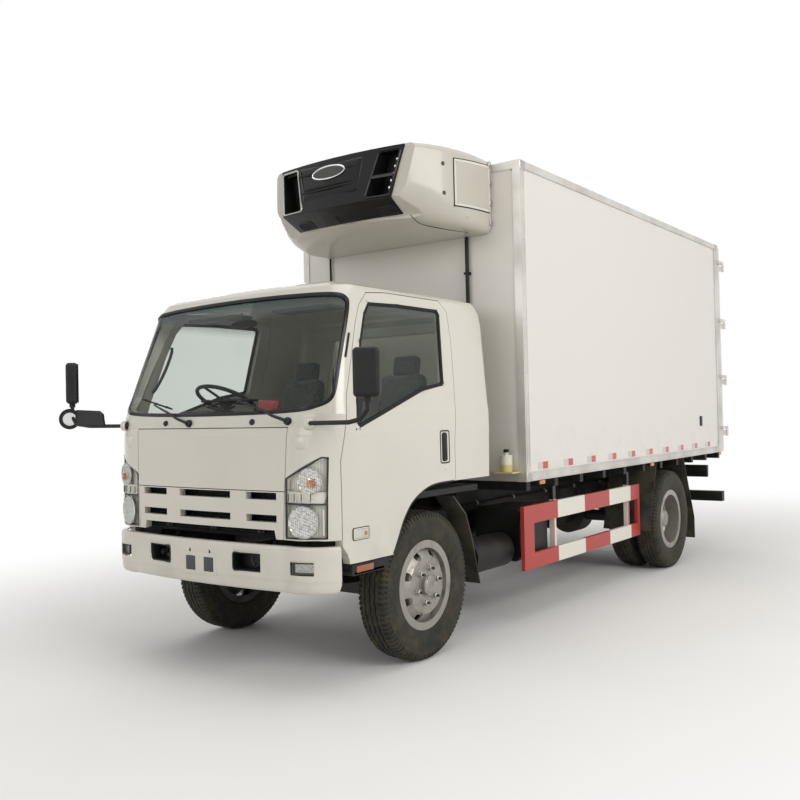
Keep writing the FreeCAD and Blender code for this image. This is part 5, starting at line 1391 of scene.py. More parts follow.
class TRUCK_OT_arch_trims(Operator):
    """Rolled lips round the front wheel arches, and the steps with their reflectors"""

    bl_idname = "truck.arch_trims"
    bl_label = "Arch trims and steps"

    def execute(self, context):
        arch = smooth(np.array(((-0.431, 0.755), (-0.384, 0.83), (-0.309, 0.956),
                                (-0.214, 1.053), (-0.077, 1.119), (0.063, 1.147),
                                (0.268, 1.152))), 6)
        for name, side in SIDES:
            lip = Shape(f"{name}_arch_lip")
            lip.add(strip(cab_side(*arch.T, side, -0.010), oblong(0.012, 0.024, 0.004),
                          (side, 0, 0)), "black_plastic")
            lip.make(f"{name}_door")
            step = Shape(f"{name}_step")
            for x, y, z, edge, finish in (
                    ((0.80, 0.985), (-0.80, -0.50), (0.672, 0.70), 0.006, "chassis_black"),
                    ((0.955, 0.985), (-0.81, -0.46), (0.676, 0.742), 0.005, "chassis_black"),
                    ((0.984, 0.990), (-0.775, -0.615), (0.69, 0.728), 0.002, "amber_reflector"),
                    ((0.5, 0.82), (-0.70, -0.66), (0.675, 0.70), 0.004, "chassis_black")):
                step.box(finish, x, y, z, edge, side=side)
            step.make("chassis")
        return {"FINISHED"}


MIRROR_HEADS = {"left": (1, 1.310, -1.045, 1.842, 24, 0.150, 0.272),
                "right": (-1, 1.385, -1.050, 1.880, 34, 0.172, 0.292)}


class TRUCK_OT_mirror_glasses(Operator):
    """Mirror glasses in their bezels, the round wide-angle glass and the arms' clamps"""

    bl_idname = "truck.mirror_glasses"
    bl_label = "Mirror glasses"

    def execute(self, context):
        for name, (side, x, y, z, turn, wide, tall) in MIRROR_HEADS.items():
            glasses = Shape(f"{name}_mirror_glass")
            angle = math.radians(side * turn)
            across = np.array((math.cos(angle), math.sin(angle), 0))
            back = np.array((-math.sin(angle), math.cos(angle), 0))
            centre = at(side * x, y, z) + back * 0.0425
            for margin, radius, low, high, edge, steps, finish in (
                    (0.016, 0.022, -0.004, 0.0015, 0.001, 2, "black_plastic"),
                    (0.03, 0.018, 0.0, 0.0022, 0.0005, 1, "mirror_glass")):
                outline = oblong(wide - margin, tall - margin, radius, steps=6)
                glasses.add(upright(outline, low, high, edge, steps, centre, -across), finish)
            collar = ((0.02, -0.03), (0.021, 0.0), (0.017, 0.006), (0.0135, 0.01))
            glasses.add(turned(collar, at(side * x, y, z - tall / 2 + 0.004), (0, 0, 1), 20),
                        "black_plastic")
            cap = ((0.036, -0.02), (0.036, 0.004), (0.03, 0.014), (0.016, 0.02))
            glasses.add(turned(cap, at(side * 0.848, -1.008, 1.570), (side * 0.9, -0.4, 0), 24),
                        "cab_paint")
            if side < 0:
                facing = (0.83, -0.56, -0.08)
                middle = at(-1.417, -1.052, 1.628)
                dome = np.linspace(0, 1, 7)
                profile = np.stack((0.066 * (1 - dome), 0.035 + 0.004 * (1 - (1 - dome) ** 2)),
                                   1)
                glasses.add(turned(profile, middle, facing, 32), "mirror_glass")
                ring = ((0.0712, 0.03), (0.0712, 0.036), (0.069, 0.0395), (0.0655, 0.037))
                glasses.add(turned(ring, middle, facing, 32), "black_plastic")
                outline = rounded(((-1.318, 1.590), (-1.01, 1.579), (-1.026, 1.652),
                                   (-1.064, 1.674), (-1.318, 1.686)), 0.012, 4)
                glasses.add(upright(inset(outline, (0.006,))[0], 0, 0.003, 0.0008, 1,
                                    at(0, -1.0445, 0)), "mirror_glass")
            glasses.make("cab")
        return {"FINISHED"}


# ---------------------------------------------------------------- the box body

BOX_HALF, BOX_FRONT = 1.095, 1.12
TAIL = WHEELBASE + 1.865


class TRUCK_OT_box_trims(Operator):
    """Ribbed lower rails, tape marks, side lamps, corner castings and rivets of the box"""

    bl_idname = "truck.box_trims"
    bl_label = "Box trims"

    def execute(self, context):
        gap = sizes().tape_gap
        along = (BOX_FRONT + 0.004, 5.80)
        ribs = [(along, (z - half, z + half), 0.0025)
                for z, half in ((1.087, 0.003), (1.098, 0.002), (1.136, 0.002), (1.147, 0.003))]
        ribs += [(along, (3.443, 3.449), 0.002)]
        ribs += [((y - 0.002, y + 0.002), (1.19, 3.43), 0.0022)
                 for y in (BOX_FRONT + 0.012, BOX_FRONT + 0.052)]
        for name, side in SIDES:
            rail = Shape(f"{name}_rail_ribs")
            for y, z, proud in ribs:
                rail.box("edge_aluminium", (BOX_HALF - 0.001, BOX_HALF + proud), y, z, 0.002, 2,
                         side)
            rail.make("chassis")
            tape = Shape(f"{name}_tape_marks")
            for y in np.arange(11) * gap + 1.433:
                for start, end, finish in ((-0.042, 0.042, "tape_red"),
                                           (-0.125, -0.042, "tape_silver")):
                    if y < 5.86:
                        tape.box(finish, (BOX_HALF - 0.0085, BOX_HALF - 0.0062),
                                 (y + start, y + end), (1.163, 1.217), 0.0005, 1, side)
            tape.make("chassis")
            lamps = Shape(f"{name}_side_lamps")
            for y in (1.367, 3.659, 5.80):
                lamps.box("black_plastic", (1.066, 1.09), (y - 0.052, y + 0.052), (1.045, 1.08),
                          0.004, side=side)
                lamps.add(upright(oblong(0.09, 0.03, 0.012, steps=6), -0.004, 0.005, 0.003, 3,
                                  at(side * 1.0895, y, 1.0625), (0, side, 0)), "amber_lens")
            lamps.make("chassis")
            fixings = Shape(f"{name}_rail_rivets")
            large = ((0.0055, -0.001), (0.005, 0.0018), (0.0025, 0.003), (0, 0.0032))
            small = ((0.0045, -0.001), (0.004, 0.0015), (0, 0.0026))
            rivets = [(large, y, 1.117) for y in np.arange(BOX_FRONT + 0.11, 5.8, 0.2213)]
            rivets += [(small, BOX_FRONT + 0.032, z) for z in np.arange(1.3, 3.45, 0.2)]
            for profile, y, z in rivets:
                fixings.add(turned(profile, at(side * BOX_HALF, y, z), (side, 0, 0), 8), "zinc")
            fixings.make("chassis")
            corner = Shape(f"{name}_corner_castings")
            front, tail = (BOX_FRONT - 0.006, BOX_FRONT + 0.085), (5.78, 5.868)
            top, foot = (3.425, 3.504), (1.078, 1.15)
            for y, z in ((front, top), (front, foot), (tail, top)):
                corner.box("zinc", (BOX_HALF - 0.085, BOX_HALF + 0.004), y, z, 0.009, 4, side)
            corner.make("chassis")
        catch = Shape("side_catch")
        for width, height, radius, low, high, finish in (
                (0.075, 0.11, 0.014, -0.006, 0.004, "black_plastic"),
                (0.04, 0.07, 0.01, 0.0, 0.0065, "cast_metal")):
            catch.add(upright(oblong(width, height, radius), low, high, 0.002, 3,
                              at(1.09, 5.158, 1.455), (0, 1, 0)), finish)
        catch.make("chassis")
        return {"FINISHED"}


class TRUCK_OT_rear_door_fittings(Operator):
    """Door seals, hinge bolts, the locking bars' cam ends and clasps, and a blank plate"""

    bl_idname = "truck.rear_door_fittings"
    bl_label = "Rear door fittings"

    def execute(self, context):
        back = (0, 1, 0)
        outer, inner, bar = 1.083, 0.004, 0.19
        for name, side in SIDES:
            door = Shape(f"{name}_rear_door_fittings")
            line = oblong(outer - inner - 0.01, 2.394, 0.02, (side * (outer + inner) / 2, 2.29))
            door.add(woven(relief(line, (0.0, 0.003, 0.018, 0.022), (0.0, -0.006, -0.006, 0.0),
                                  at(0, TAIL, 0)), ends=False), "rubber_seal")
            for z in (1.3, 1.9, 2.56, 3.24):
                for x in (0.925, 0.975, 1.035):
                    door.add(bolt(at(side * x, TAIL + 0.008, z), back, 0.016, 0.007), "zinc")
            for z in (1.13, 3.44):
                door.box("zinc", (bar - 0.04, bar + 0.04), (TAIL + 0.001, TAIL + 0.034),
                         (z - 0.035, z + 0.035), 0.006, side=side)
            for z in (1.5, 2.1, 2.8):
                for dx in (-0.022, 0.022):
                    door.add(bolt(at(side * bar + dx, TAIL + 0.021, z), back, 0.012, 0.005),
                             "zinc")
            door.box("zinc", (0.42, 0.5), (TAIL, TAIL + 0.012), (1.56, 1.63), 0.004, side=side)
            door.make(f"rear_{name}_door")
        return {"FINISHED"}


class TRUCK_OT_rear_lamps(Operator):
    """Rear lamp clusters on their brackets, the underrun bar's tape, flaps and a plain plate"""

    bl_idname = "truck.rear_lamps"
    bl_label = "Rear lamps"

    def execute(self, context):
        rear = TAIL - 0.1
        back = (0, 1, 0)
        lamps = Shape("rear_lamps")
        for side in (1, -1):
            lamps.box("black_plastic", (0.56, 0.955), (rear - 0.15, rear - 0.085), (0.80, 0.93),
                      0.01, 4, side)
            for i, (finish, width) in enumerate((("amber_lens", 0.1), ("red_lens", 0.13),
                                                 ("lamp_lens", 0.09))):
                place = at(side * (0.89 - 0.125 * i), rear - 0.086, 0.865)
                lamps.add(upright(oblong(width, 0.1, 0.014), 0, 0.012, 0.005, 4, place,
                                  (-1, 0, 0)), finish)
            lamps.box("tape_red", (1.095, 1.104), (rear - 0.014, rear - 0.002), (0.515, 0.62),
                      0.003, side=side)
            for i in range(4):
                lamps.box("tape_red" if i % 2 else "tape_silver",
                          (0.01 + 0.3 * i, min(0.29 + 0.3 * i, 1.09)),
                          (rear - 0.001, rear + 0.001), (0.535, 0.6), 0.0005, 1, side)
        lamps.box("white_plastic", (-0.26, 0.26), (rear - 0.14, rear - 0.125), (0.79, 0.93),
                  0.004)
        lamps.make("chassis")
        flaps = Shape("rear_mudflap_panels")
        share = np.linspace(0, 1, 14)[:, None]
        for side in (1, -1):
            low, high = sorted((side * 0.86, side * 1.07))
            y = WHEELBASE + 0.7455 + 0.012 * np.sin(np.pi * share) + AXLE_Y
            grid = np.stack(np.broadcast_arrays(np.linspace(low, high, 12), y,
                                                0.415 - 0.2 * share), -1)
            flaps.add(thick_sheet(grid, 0.004, back), "mudflap_rubber")
            for x in np.linspace(low + 0.03, high - 0.03, 3):
                flaps.add(bolt(at(x, WHEELBASE + 0.748, 0.40), back, 0.013, 0.006), "zinc")
        flaps.make("chassis")
        return {"FINISHED"}


# ---------------------------------------------------------------- the cooling unit

UNIT_FACE = BOX_FRONT - 0.008
UNIT_REACH = 0.85
KNEE = 3.155  # height of the fold across the unit's face
UNIT_SECTIONS = np.array((  # ahead of the wall, half width, bottom, top, upper, lower radius
    (0.0, 0.844, 2.975, 3.538, 0.05, 0.06), (0.26, 0.844, 2.975, 3.545, 0.06, 0.08),
    (0.38, 0.832, 2.979, 3.545, 0.062, 0.12), (0.50, 0.804, 2.989, 3.545, 0.06, 0.165),
    (0.60, 0.766, 3.010, 3.544, 0.055, 0.195), (0.69, 0.718, 3.045, 3.543, 0.05, 0.2),
    (0.77, 0.662, 3.078, 3.542, 0.045, 0.185), (0.85, 0.590, 3.105, 3.540, 0.04, 0.15)))


def grille_depth(x, z):
    """y of the unit's folded face: two leans that meet at a knee, bowed across."""
    lean = np.where(z > KNEE, (z - KNEE) * 0.1697, np.minimum((KNEE - z) * 1.902, 0.18))
    return 0.277 + lean - 0.06 * (1 - (x / 0.64) ** 2)


def grille_point(x, height):
    """Points of the unit's folded face at x and a height."""
    x, z = floats(x, height)
    return np.stack((x, grille_depth(x, z) + AXLE_Y, z), -1)


FORWARD = unit(np.array((0, -1, 0.12)))  # square to the face above its knee


def face_rows(outline, across, lift, direction=FORWARD):
    """Rows on the unit's folded face: an outline's insets, each lifted by its own amount."""
    rows = inset(outline, across)
    return grille_point(rows[..., 0], rows[..., 1]) \
        + np.asarray(lift)[:, None, None] * direction


def unit_outline(half, low, high, above, below):
    """One upright section: four sides of even steps and four quarter-circle corners."""
    turn = np.linspace(0, np.pi / 2, 13)[:, None]
    share = np.linspace(0, 1, 22)[1:-1, None]
    parts = []
    for start, (x, z, radius, end) in enumerate((
            (1, 1, above, (-half + above, high)), (-1, 1, above, (-half, low + below)),
            (-1, -1, below, (half - below, low)), (1, -1, below, (half, high - above)))):
        edge = high - radius if z > 0 else low + radius
        angle = turn + start * np.pi / 2
        parts.append(np.hstack((x * (half - radius) + radius * np.cos(angle),
                                edge + radius * np.sin(angle))))
        last = parts[-1][-1]
        parts.append(last + share * (np.array(end) - last))
    return np.concatenate(parts)


UNIT_LINES = len(unit_outline(*UNIT_SECTIONS[0, 1:]))


def unit_skin(ahead):
    """Points of the housing at distances ahead of the wall, one for each line around it.

    Every line runs through the same place of all sections as a cubic Hermite curve, whose
    slope at a section is the mean of those beside it."""
    knots = UNIT_SECTIONS[:, 0]
    rings = np.stack([unit_outline(*row[1:]) for row in UNIT_SECTIONS])
    slopes = np.gradient(rings, knots, axis=0)
    level = np.clip(np.searchsorted(knots, ahead) - 1, 0, len(knots) - 2)
    gap = (knots[level + 1] - knots[level])[..., None]
    t = (ahead[..., None] - knots[level][..., None]) / gap
    line = np.broadcast_to(np.arange(rings.shape[1]), ahead.shape)
    a, b = rings[level, line], rings[level + 1, line]
    c, d = slopes[level, line] * gap, slopes[level + 1, line] * gap
    flat = (2 * t ** 3 - 3 * t ** 2 + 1) * a + (t ** 3 - 2 * t ** 2 + t) * c \
        + (3 * t ** 2 - 2 * t ** 3) * b + (t ** 3 - t ** 2) * d
    return np.stack((flat[..., 0], UNIT_FACE - ahead, np.minimum(flat[..., 1], 3.5448)), -1)


def unit_side(y, z, side, proud=0.0):
    """Points on the flat flank of the housing, whose half width is read along its length."""
    y, z = floats(y, z)
    ahead = np.linspace(0, UNIT_REACH, 120)
    half = unit_skin(np.broadcast_to(ahead[:, None], (120, UNIT_LINES)))[..., 0].max(1)
    return np.stack((side * (np.interp(UNIT_FACE - y, ahead, half) + proud), y + AXLE_Y, z), -1)

class TRUCK_OT_unit_housing(Operator):
    """The unit's housing: one smooth moulding that ends at the folded black face"""

    bl_idname = "truck.unit_housing"
    bl_label = "Cooling unit's housing"

    def execute(self, context):
        lip_gap = 0.0152  # from the folded face to the housing's front edge
        trial = np.linspace(0.0, UNIT_REACH, 240)
        skin = unit_skin(np.broadcast_to(trial[:, None], (240, UNIT_LINES)))
        room = skin[..., 1] - grille_depth(skin[..., 0], skin[..., 2]) - 0.015
        first = np.where((room < 0).any(0), (room < 0).argmax(0), 239).clip(1)
        line = np.arange(UNIT_LINES)
        before, after = room[first - 1, line], room[first, line]
        reach = trial[first - 1] + (trial[1] - trial[0]) * (before / (before - after)).clip(0, 1)
        rows = unit_skin(np.linspace(0, 1, 44)[:, None] * reach[None])
        edge = rows[-1]
        half = np.interp(edge[:, 2], (3.063, KNEE, 3.538), (0.486, 0.512, 0.598))
        lip = np.stack((np.clip(edge[:, 0], -half, half), edge[:, 1],
                        np.clip(edge[:, 2], 3.072, 3.53)), 1)
        lip[:, 1] = grille_depth(lip[:, 0], lip[:, 2]) + lip_gap
        steps = edge + (lip - edge) * np.array((0.12, 0.5, 1.0))[:, None, None]
        steps[:, :, 1] = grille_depth(steps[:, :, 0], steps[:, :, 2]) + lip_gap
        deep = lip * (0.97, 0, 1) + (0, UNIT_FACE - 0.01, 0)
        rows = np.concatenate((rows, steps, deep[None], rows[:1]))
        housing = Shape("unit_housing")
        housing.add(woven(rows + (0, AXLE_Y, 0), ends=False), "unit_shell")
        seam = smooth(((0.60, 0.386, 3.034), (0.602, 0.52, 2.9885), (0.66, 0.75, 2.977),
                       (0.73, 0.95, 2.9745)), 8)
        housing.add(tube(seam + (0, AXLE_Y, 0), 0.0028, 8), "rubber_seal")
        housing.make("chassis", ("reefer_housing",))
        return {"FINISHED"}


class TRUCK_OT_unit_grille(Operator):
    """The unit's black face: framed vents with slats, a raised middle and slotted chin"""

    bl_idname = "truck.unit_grille"
    bl_label = "Cooling unit's face"

    def execute(self, context):
        face = Shape("unit_face_details")
        foot, head, slat = 3.172, 3.508, 3.318
        for side in (1, -1):
            line = rounded([(side * x, z) for x, z in ((0.400, head), (0.574, head),
                                                       (0.508, foot), (0.306, foot))], 0.018, 4)
            face.add(band(face_rows(line, (-0.010, -0.007, 0.0, 0.004, 0.006),
                                    (0.001, 0.007, 0.008, 0.003, -0.05))),
                     "gloss_black" if side > 0 else "zinc")
            walls = face_rows(line, (0.008, 0.008, 0.002, 0.002), (0, 0, 0, 0))
            walls[0, :, 1], walls[3, :, 1] = 0.419 + AXLE_Y, 0.424 + AXLE_Y
            face.add(woven(walls), "black_plastic")
            if side > 0:
                share = (slat - foot) / (head - foot)
                x = np.linspace(0.306 + 0.094 * share, 0.508 + 0.066 * share, 10)
                face.add(strip(grille_point(x, slat) + FORWARD * 0.001,
                               oblong(0.02, 0.026, 0.004), (0, 0, 1)), "gloss_black")
                pin = ((0.0105, -0.002), (0.0105, 0.003), (0.007, 0.006), (0, 0.007))
                for share in np.linspace(0, 1, 5):
                    place = grille_point(0.556 - 0.045 * share, 3.428 - 0.206 * share)
                    face.add(turned(pin, place + FORWARD * 0.001, FORWARD, 16), "chrome")
        panel = rounded(((-0.375, 3.508), (-0.292, 3.245), (0.226, 3.245), (0.262, 3.492)), 0.02,
                        5)
        face.add(woven(face_rows(panel, (-0.004, 0.0, 0.012, 0.03),
                                 (0.0005, 0.006, 0.013, 0.0145))), "gloss_black")
        oval = (-0.047, 3.425) + circle(1.0, 64) * (0.165, 0.055)
        face.add(band(face_rows(oval, (0.0, 0.001, 0.006, 0.012, 0.012),
                                (0.010, 0.0185, 0.0215, 0.018, 0.010))), "chrome")
        face.add(woven(face_rows(oval, (0.012, 0.012, 0.03, 0.048),
                                 (0.012, 0.0172, 0.0185, 0.019))), "grey_plastic")
        for x0, z0, x1, z1 in ((-0.352, 3.444, -0.22, 3.443), (0.13, 3.44, 0.241, 3.438),
                               (-0.297, 3.298, 0.219, 3.306), (-0.28, 3.322, 0.215, 3.33)):
            slot = grille_point(np.linspace(x0, x1, 24), np.linspace(z0, z1, 24))
            face.add(strip(slot + FORWARD * 0.0145, oblong(0.005, 0.018, 0.002), (0, 0, 1)),
                     "rubber_seal")
        down = np.array((0, -0.46, -0.89))
        for x in (-0.372, 0.027, 0.418):
            chin = oblong(0.15, 0.042, 0.02, (x, 3.087), 6)
            for across, lift, ends, finish in (
                    ((-0.004, -0.002, 0.002, 0.004), (0.0, 0.005, 0.005, 0.0005), False,
                     "gloss_black"),
                    ((0.002, 0.008), (0.0012, 0.0012), True, "rubber_seal")):
                face.add(woven(face_rows(chin, across, lift, down)[:, ::-1], ends), finish)
        face.add(tube(grille_point(np.linspace(-0.505, 0.505, 60), KNEE), 0.006, 10),
                 "gloss_black")
        face.make("chassis")
        return {"FINISHED"}


class TRUCK_OT_unit_fittings(Operator):
    """The unit's side doors with their screws, plugs, wall brackets and a bolt on top"""

    bl_idname = "truck.unit_fittings"
    bl_label = "Cooling unit's fittings"

    def execute(self, context):
        unit_trim = Shape("unit_fittings")
        wall, front, rear = 0.844, 0.645, 1.085
        for side in (1, -1):
            axis = (side, 0, 0)
            for grow, proud, finish in ((0.007, 0.0018, "rubber_seal"),
                                        (-0.001, 0.0062, "white_plastic"),
                                        (-0.017, 0.0078, "unit_shell")):
                y = np.linspace(front - grow, rear + grow, 24)
                foot = np.interp(y, (front, rear), (3.115, 3.13)) - grow
                head = np.interp(y, (front, rear), (3.455, 3.485)) + grow
                z = foot + np.linspace(0, 1, 5)[:, None] * (head - foot)
                unit_trim.add(thick_sheet(unit_side(y, z, side, proud), proud + 0.002, axis),
                              finish)
            for y, z in ((0.664, 3.135), (0.664, 3.435), (1.066, 3.15), (1.066, 3.463)):
                unit_trim.add(screw(unit_side(y, z, side, 0.0075), axis, 0.0075), "zinc")
            for y, z in ((0.551, 3.406), (0.556, 3.194)):
                unit_trim.add(turned(((0.016, -0.01), (0.016, 0.001), (0.012, 0.003),
                                      (0, 0.0035)),
                                     unit_side(y, z, side), (side, -0.25, 0), 20), "grey_plastic")
            for y in (0.78, 0.87, 0.96, 1.05):
                unit_trim.add(screw(at(side * wall, y, 3.045), axis), "zinc")
            for z in np.linspace(3.05, 3.5, 4):
                unit_trim.box("zinc", (wall - 0.002, wall + 0.012), (1.075, 1.107),
                              (z - 0.02, z + 0.02), 0.003, side=side)
        unit_trim.add(bolt(at(0.78, 1.0, 3.528), (0, 0, 1), 0.022, 0.012), "cast_metal")
        unit_trim.make("chassis")
        return {"FINISHED"}


# ---------------------------------------------------------------- chassis

class TRUCK_OT_chassis_fittings(Operator):
    """Rail bolts, the tank's cap, air lines in their clips and the bottle's cap"""

    bl_idname = "truck.chassis_fittings"
    bl_label = "Chassis fittings"

    def execute(self, context):
        up = (0, 0, 1)
        rails = Shape("rail_bolts")
        head = ((0.012, -0.001), (0.011, 0.004), (0.006, 0.007), (0, 0.008))
        for side in (1, -1):
            for y in np.arange(1.3, 5.5, 0.175):
                for z in (0.69, 0.80):
                    rails.add(turned(head, at(side * 0.425, y, z), (side, 0, 0), 8),
                              "cast_metal")
        rails.make("chassis")
        low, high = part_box("fuel_tank")
        tank = Shape("tank_fittings")
        cap = ((0.045, -0.005), (0.045, 0.012), (0.052, 0.014), (0.052, 0.03),
               (0.046, 0.036), (0, 0.038))
        tank.add(turned(cap, ((low.x + high.x) / 2, low.y + 0.12, high.z), up, 28),
                 "black_plastic")
        tank.make("chassis")
        lines = Shape("air_lines")
        for k, (x, z) in enumerate(((0.44, 0.875), (0.452, 0.868), (-0.445, 0.872))):
            y = np.linspace(1.2, 5.6, 26)
            path = np.stack((np.full_like(y, x), y + AXLE_Y, z + 0.006 * np.sin(y * 7 + k)), 1)
            lines.add(tube(path, 0.0055, 8), "hose_rubber")
            for y in np.arange(1.45, 5.5, 0.6):
                lines.box("zinc", (x - 0.009, x + 0.009), (y - 0.008, y + 0.008),
                          (z - 0.012, z + 0.014), 0.002, 1)
        lines.make("chassis")
        bottle = Shape("bottle_fittings")
        cap = ((0.02, -0.004), (0.021, 0.004), (0.021, 0.016), (0.018, 0.02), (0, 0.021))
        place = (0.96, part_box("service_bottle")[0].y + 0.055, 1.308)
        bottle.add(turned(cap, place, up, 24), "black_plastic")
        bottle.make("chassis")
        return {"FINISHED"}


# ---------------------------------------------------------------- inside the cab

SEAT_SPANS = {"driver": (-0.725, -0.245), "middle": (-0.175, 0.155), "passenger": (0.245, 0.725)}


def cushion_form(length, width, depth):
    """A closed cushion: a superellipsoid, crowned on top, whose sides pull in mid-way.

    Each coordinate is half the size times a signed power of a sine or cosine, so that the
    faces stay flat-ish and the edges round."""
    around = np.linspace(0, 2 * np.pi, 64, endpoint=False)
    rise = np.linspace(-np.pi / 2, np.pi / 2, 26)

    def power(value, exponent):
        return np.sign(value) * np.abs(value) ** exponent

    ring = power(np.cos(rise), 0.35)[:, None]
    x = 0.5 * width * ring * power(np.cos(around), 0.3)[None]
    y = 0.5 * length * ring * power(np.sin(around), 0.3)[None]
    z = 0.5 * depth * power(np.sin(rise), 0.6)[:, None] * np.ones_like(x)
    crown = 0.12 * depth * (1 - (x / (0.5 * width)) ** 2) * (1 - (y / (0.5 * length)) ** 2)
    return np.stack((x, y, z + np.where(z > 0, crown, 0)), 2)


def stuff(piece, reach, last_frame=20):
    """Blow a cushion up by cloth simulation, so that its cover wrinkles at its corners.

    No point may move further than reach from where it started."""
    remesh = piece.modifiers.new("even_mesh", "REMESH")
    remesh.mode = "VOXEL"
    remesh.voxel_size = 0.006
    shape_of(piece)
    start = coordinates(piece.data)
    cloth = piece.modifiers.new("stuffing", "CLOTH")
    cloth.settings.use_pressure = True
    cloth.settings.uniform_pressure_force = 4.0
    cloth.settings.effector_weights.gravity = 0.0
    cloth.settings.quality = 4
    cloth.point_cache.frame_start = 1
    cloth.point_cache.frame_end = last_frame
    scene = bpy.context.scene
    for frame_number in range(1, last_frame + 1):
        scene.frame_set(frame_number)
    shape_of(piece)
    scene.frame_set(1)
    moved = coordinates(piece.data) - start
    length = np.linalg.norm(moved, axis=1)[:, None] + 1e-9
    final = start + moved * np.minimum(1.0, reach / length)
    piece.data.vertices.foreach_set("co", final.astype(np.float32).ravel())


def shape_of(piece):
    """Keep what the modifiers have made of a piece, and drop the modifiers."""
    graph = bpy.context.evaluated_depsgraph_get()
    mesh = bpy.data.meshes.new_from_object(piece.evaluated_get(graph))
    piece.modifiers.clear()
    piece.data = mesh


def coordinates(mesh):
    points = np.zeros(3 * len(mesh.vertices), np.float32)
    mesh.vertices.foreach_get("co", points)
    return points.reshape(-1, 3).astype(float)


class TRUCK_OT_seats(Operator):
    """Three seats with stuffed cushions and backs, headrests on their posts, and bases"""

    bl_idname = "truck.seats"
    bl_label = "Seats"

    def execute(self, context):
        for name, (low, high) in SEAT_SPANS.items():
            middle, width = (low + high) / 2, high - low - 0.05
            for part, length, across, depth, centre, lean in (
                    ("cushion", 0.44, width, 0.12, (middle, 0.07, 1.335), 0.0),
                    ("back", 0.50, width - 0.02, 0.10, (middle, 0.385, 1.66), 79),
                    ("headrest", 0.15, 0.21, 0.085, (middle, 0.462, 1.955), 80)):
                form = Shape(f"{name}_seat_{part}")
                form.add(woven(cushion_form(length, across, depth)), "seat_cloth")
                lean = math.radians(lean)
                turn = np.array(((1, 0, 0), (0, math.cos(lean), math.sin(lean)),
                                 (0, -math.sin(lean), math.cos(lean))))
                form.points = [form.points[0] @ turn + at(*centre)]
                piece = form.make("cab", ("seats",), 180)
                if part != "headrest":
                    stuff(piece, 0.022)
                piece.data.shade_smooth()
                soften = piece.modifiers.new("soft", "SUBSURF")
                soften.levels = soften.render_levels = 1
            base = Shape(f"{name}_seat_base")
            base.box("black_plastic", (low + 0.03, high - 0.03), (-0.13, 0.40), (1.105, 1.255),
                     0.02, 4)
            for x in (middle - 0.05, middle + 0.05):
                base.add(tube([at(x, 0.44, z) for z in (1.84, 1.9, 1.94)], 0.006, 10,
                              up=(0, 1, 0)), "chrome")
            base.make("cab")
        return {"FINISHED"}


class TRUCK_OT_cab_interior(Operator):
    """Instrument hood, vents, column stalks, interior mirror, visors and grab handles"""

    bl_idname = "truck.cab_interior"
    bl_label = "Cab interior"

    def execute(self, context):
        inside = Shape("cab_interior")
        low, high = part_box("dashboard")
        front, rear, top = low.y - AXLE_Y, high.y - AXLE_Y, high.z
        inside.box("black_plastic", (-0.64, -0.24), (front + 0.19, front + 0.36),
                   (top - 0.01, top + 0.055), 0.022, 5)
        for x in (-0.7, -0.25, 0.05, 0.78):
            inside.box("gloss_black", (x - 0.06, x + 0.06), (rear - 0.005, rear + 0.008),
                       (top - 0.09, top - 0.035), 0.006)
        inside.box("tape_red", (0.25, 0.39), (-0.83, -0.76), (top - 0.004, top + 0.11), 0.012)
        share = np.linspace(0, 1, 14)
        lift = 0.035 * np.sin(np.pi * share) ** 0.5
        for side in (1, -1):
            inside.box("grey_plastic", (0.16, 0.66), (-0.60, -0.44), (2.285, 2.31), 0.01, 4,
                       side)
            pillar = np.stack((side * (0.905 - 0.06 * share - lift),
                               -0.72 + 0.13 * share + AXLE_Y, 1.80 + 0.32 * share), 1)
            inside.add(tube(pillar, 0.011, 10, up=(0, 1, 0)), "black_plastic")
        inside.add(slab(circle(1.0, 32) * (0.12, 0.032), -0.012, 0.01, 0.008, 4,
                        at(-0.09, -0.60, 2.235), (1, 0, 0), (0, 0.2, 1)), "black_plastic")
        stem = [at(-0.09, -0.60 - 0.01 * i, z) for i, z in enumerate((2.24, 2.28, 2.31))]
        inside.add(tube(stem, 0.007, 10, up=(0, 1, 0)), "black_plastic")
        for side in (1, -1):
            stalk = [at(-0.43 + side * (0.03 + 0.11 * s), -0.49 - 0.02 * s, 1.66 + 0.03 * s)
                     for s in np.linspace(0, 1, 6)]
            inside.add(tube(stalk, 0.008, 10), "black_plastic")
        inside.make("cab")
        return {"FINISHED"}


# ---------------------------------------------------------------- stage

FLOOR_HALF = 60
SKY = 0.46  # strength of the soft light from all round
LAMPS = (  # name, place, target, width and height, watts
    ("side_softbox", (13, -1, 7), (0.5, 1.0, 1.6), (9, 5), 800),
    ("front_softbox", (-2, -13, 6), (0, -2, 1.4), (9, 5), 290),
    ("roof_softbox", (1, 1, 12), (0, 0.5, 1.5), (8, 12), 290),
    ("back_softbox", (-9, 11, 6), (0, 1, 1.6), (8, 5), 300))
SENSOR, LENS = 36.0, 40.5801  # millimetres
CAMERA_PLACE = (4.3382, -4.8577, 1.6164)
YAW, PITCH, ROLL = 0.6352, 0.0145, -0.0223  # radians


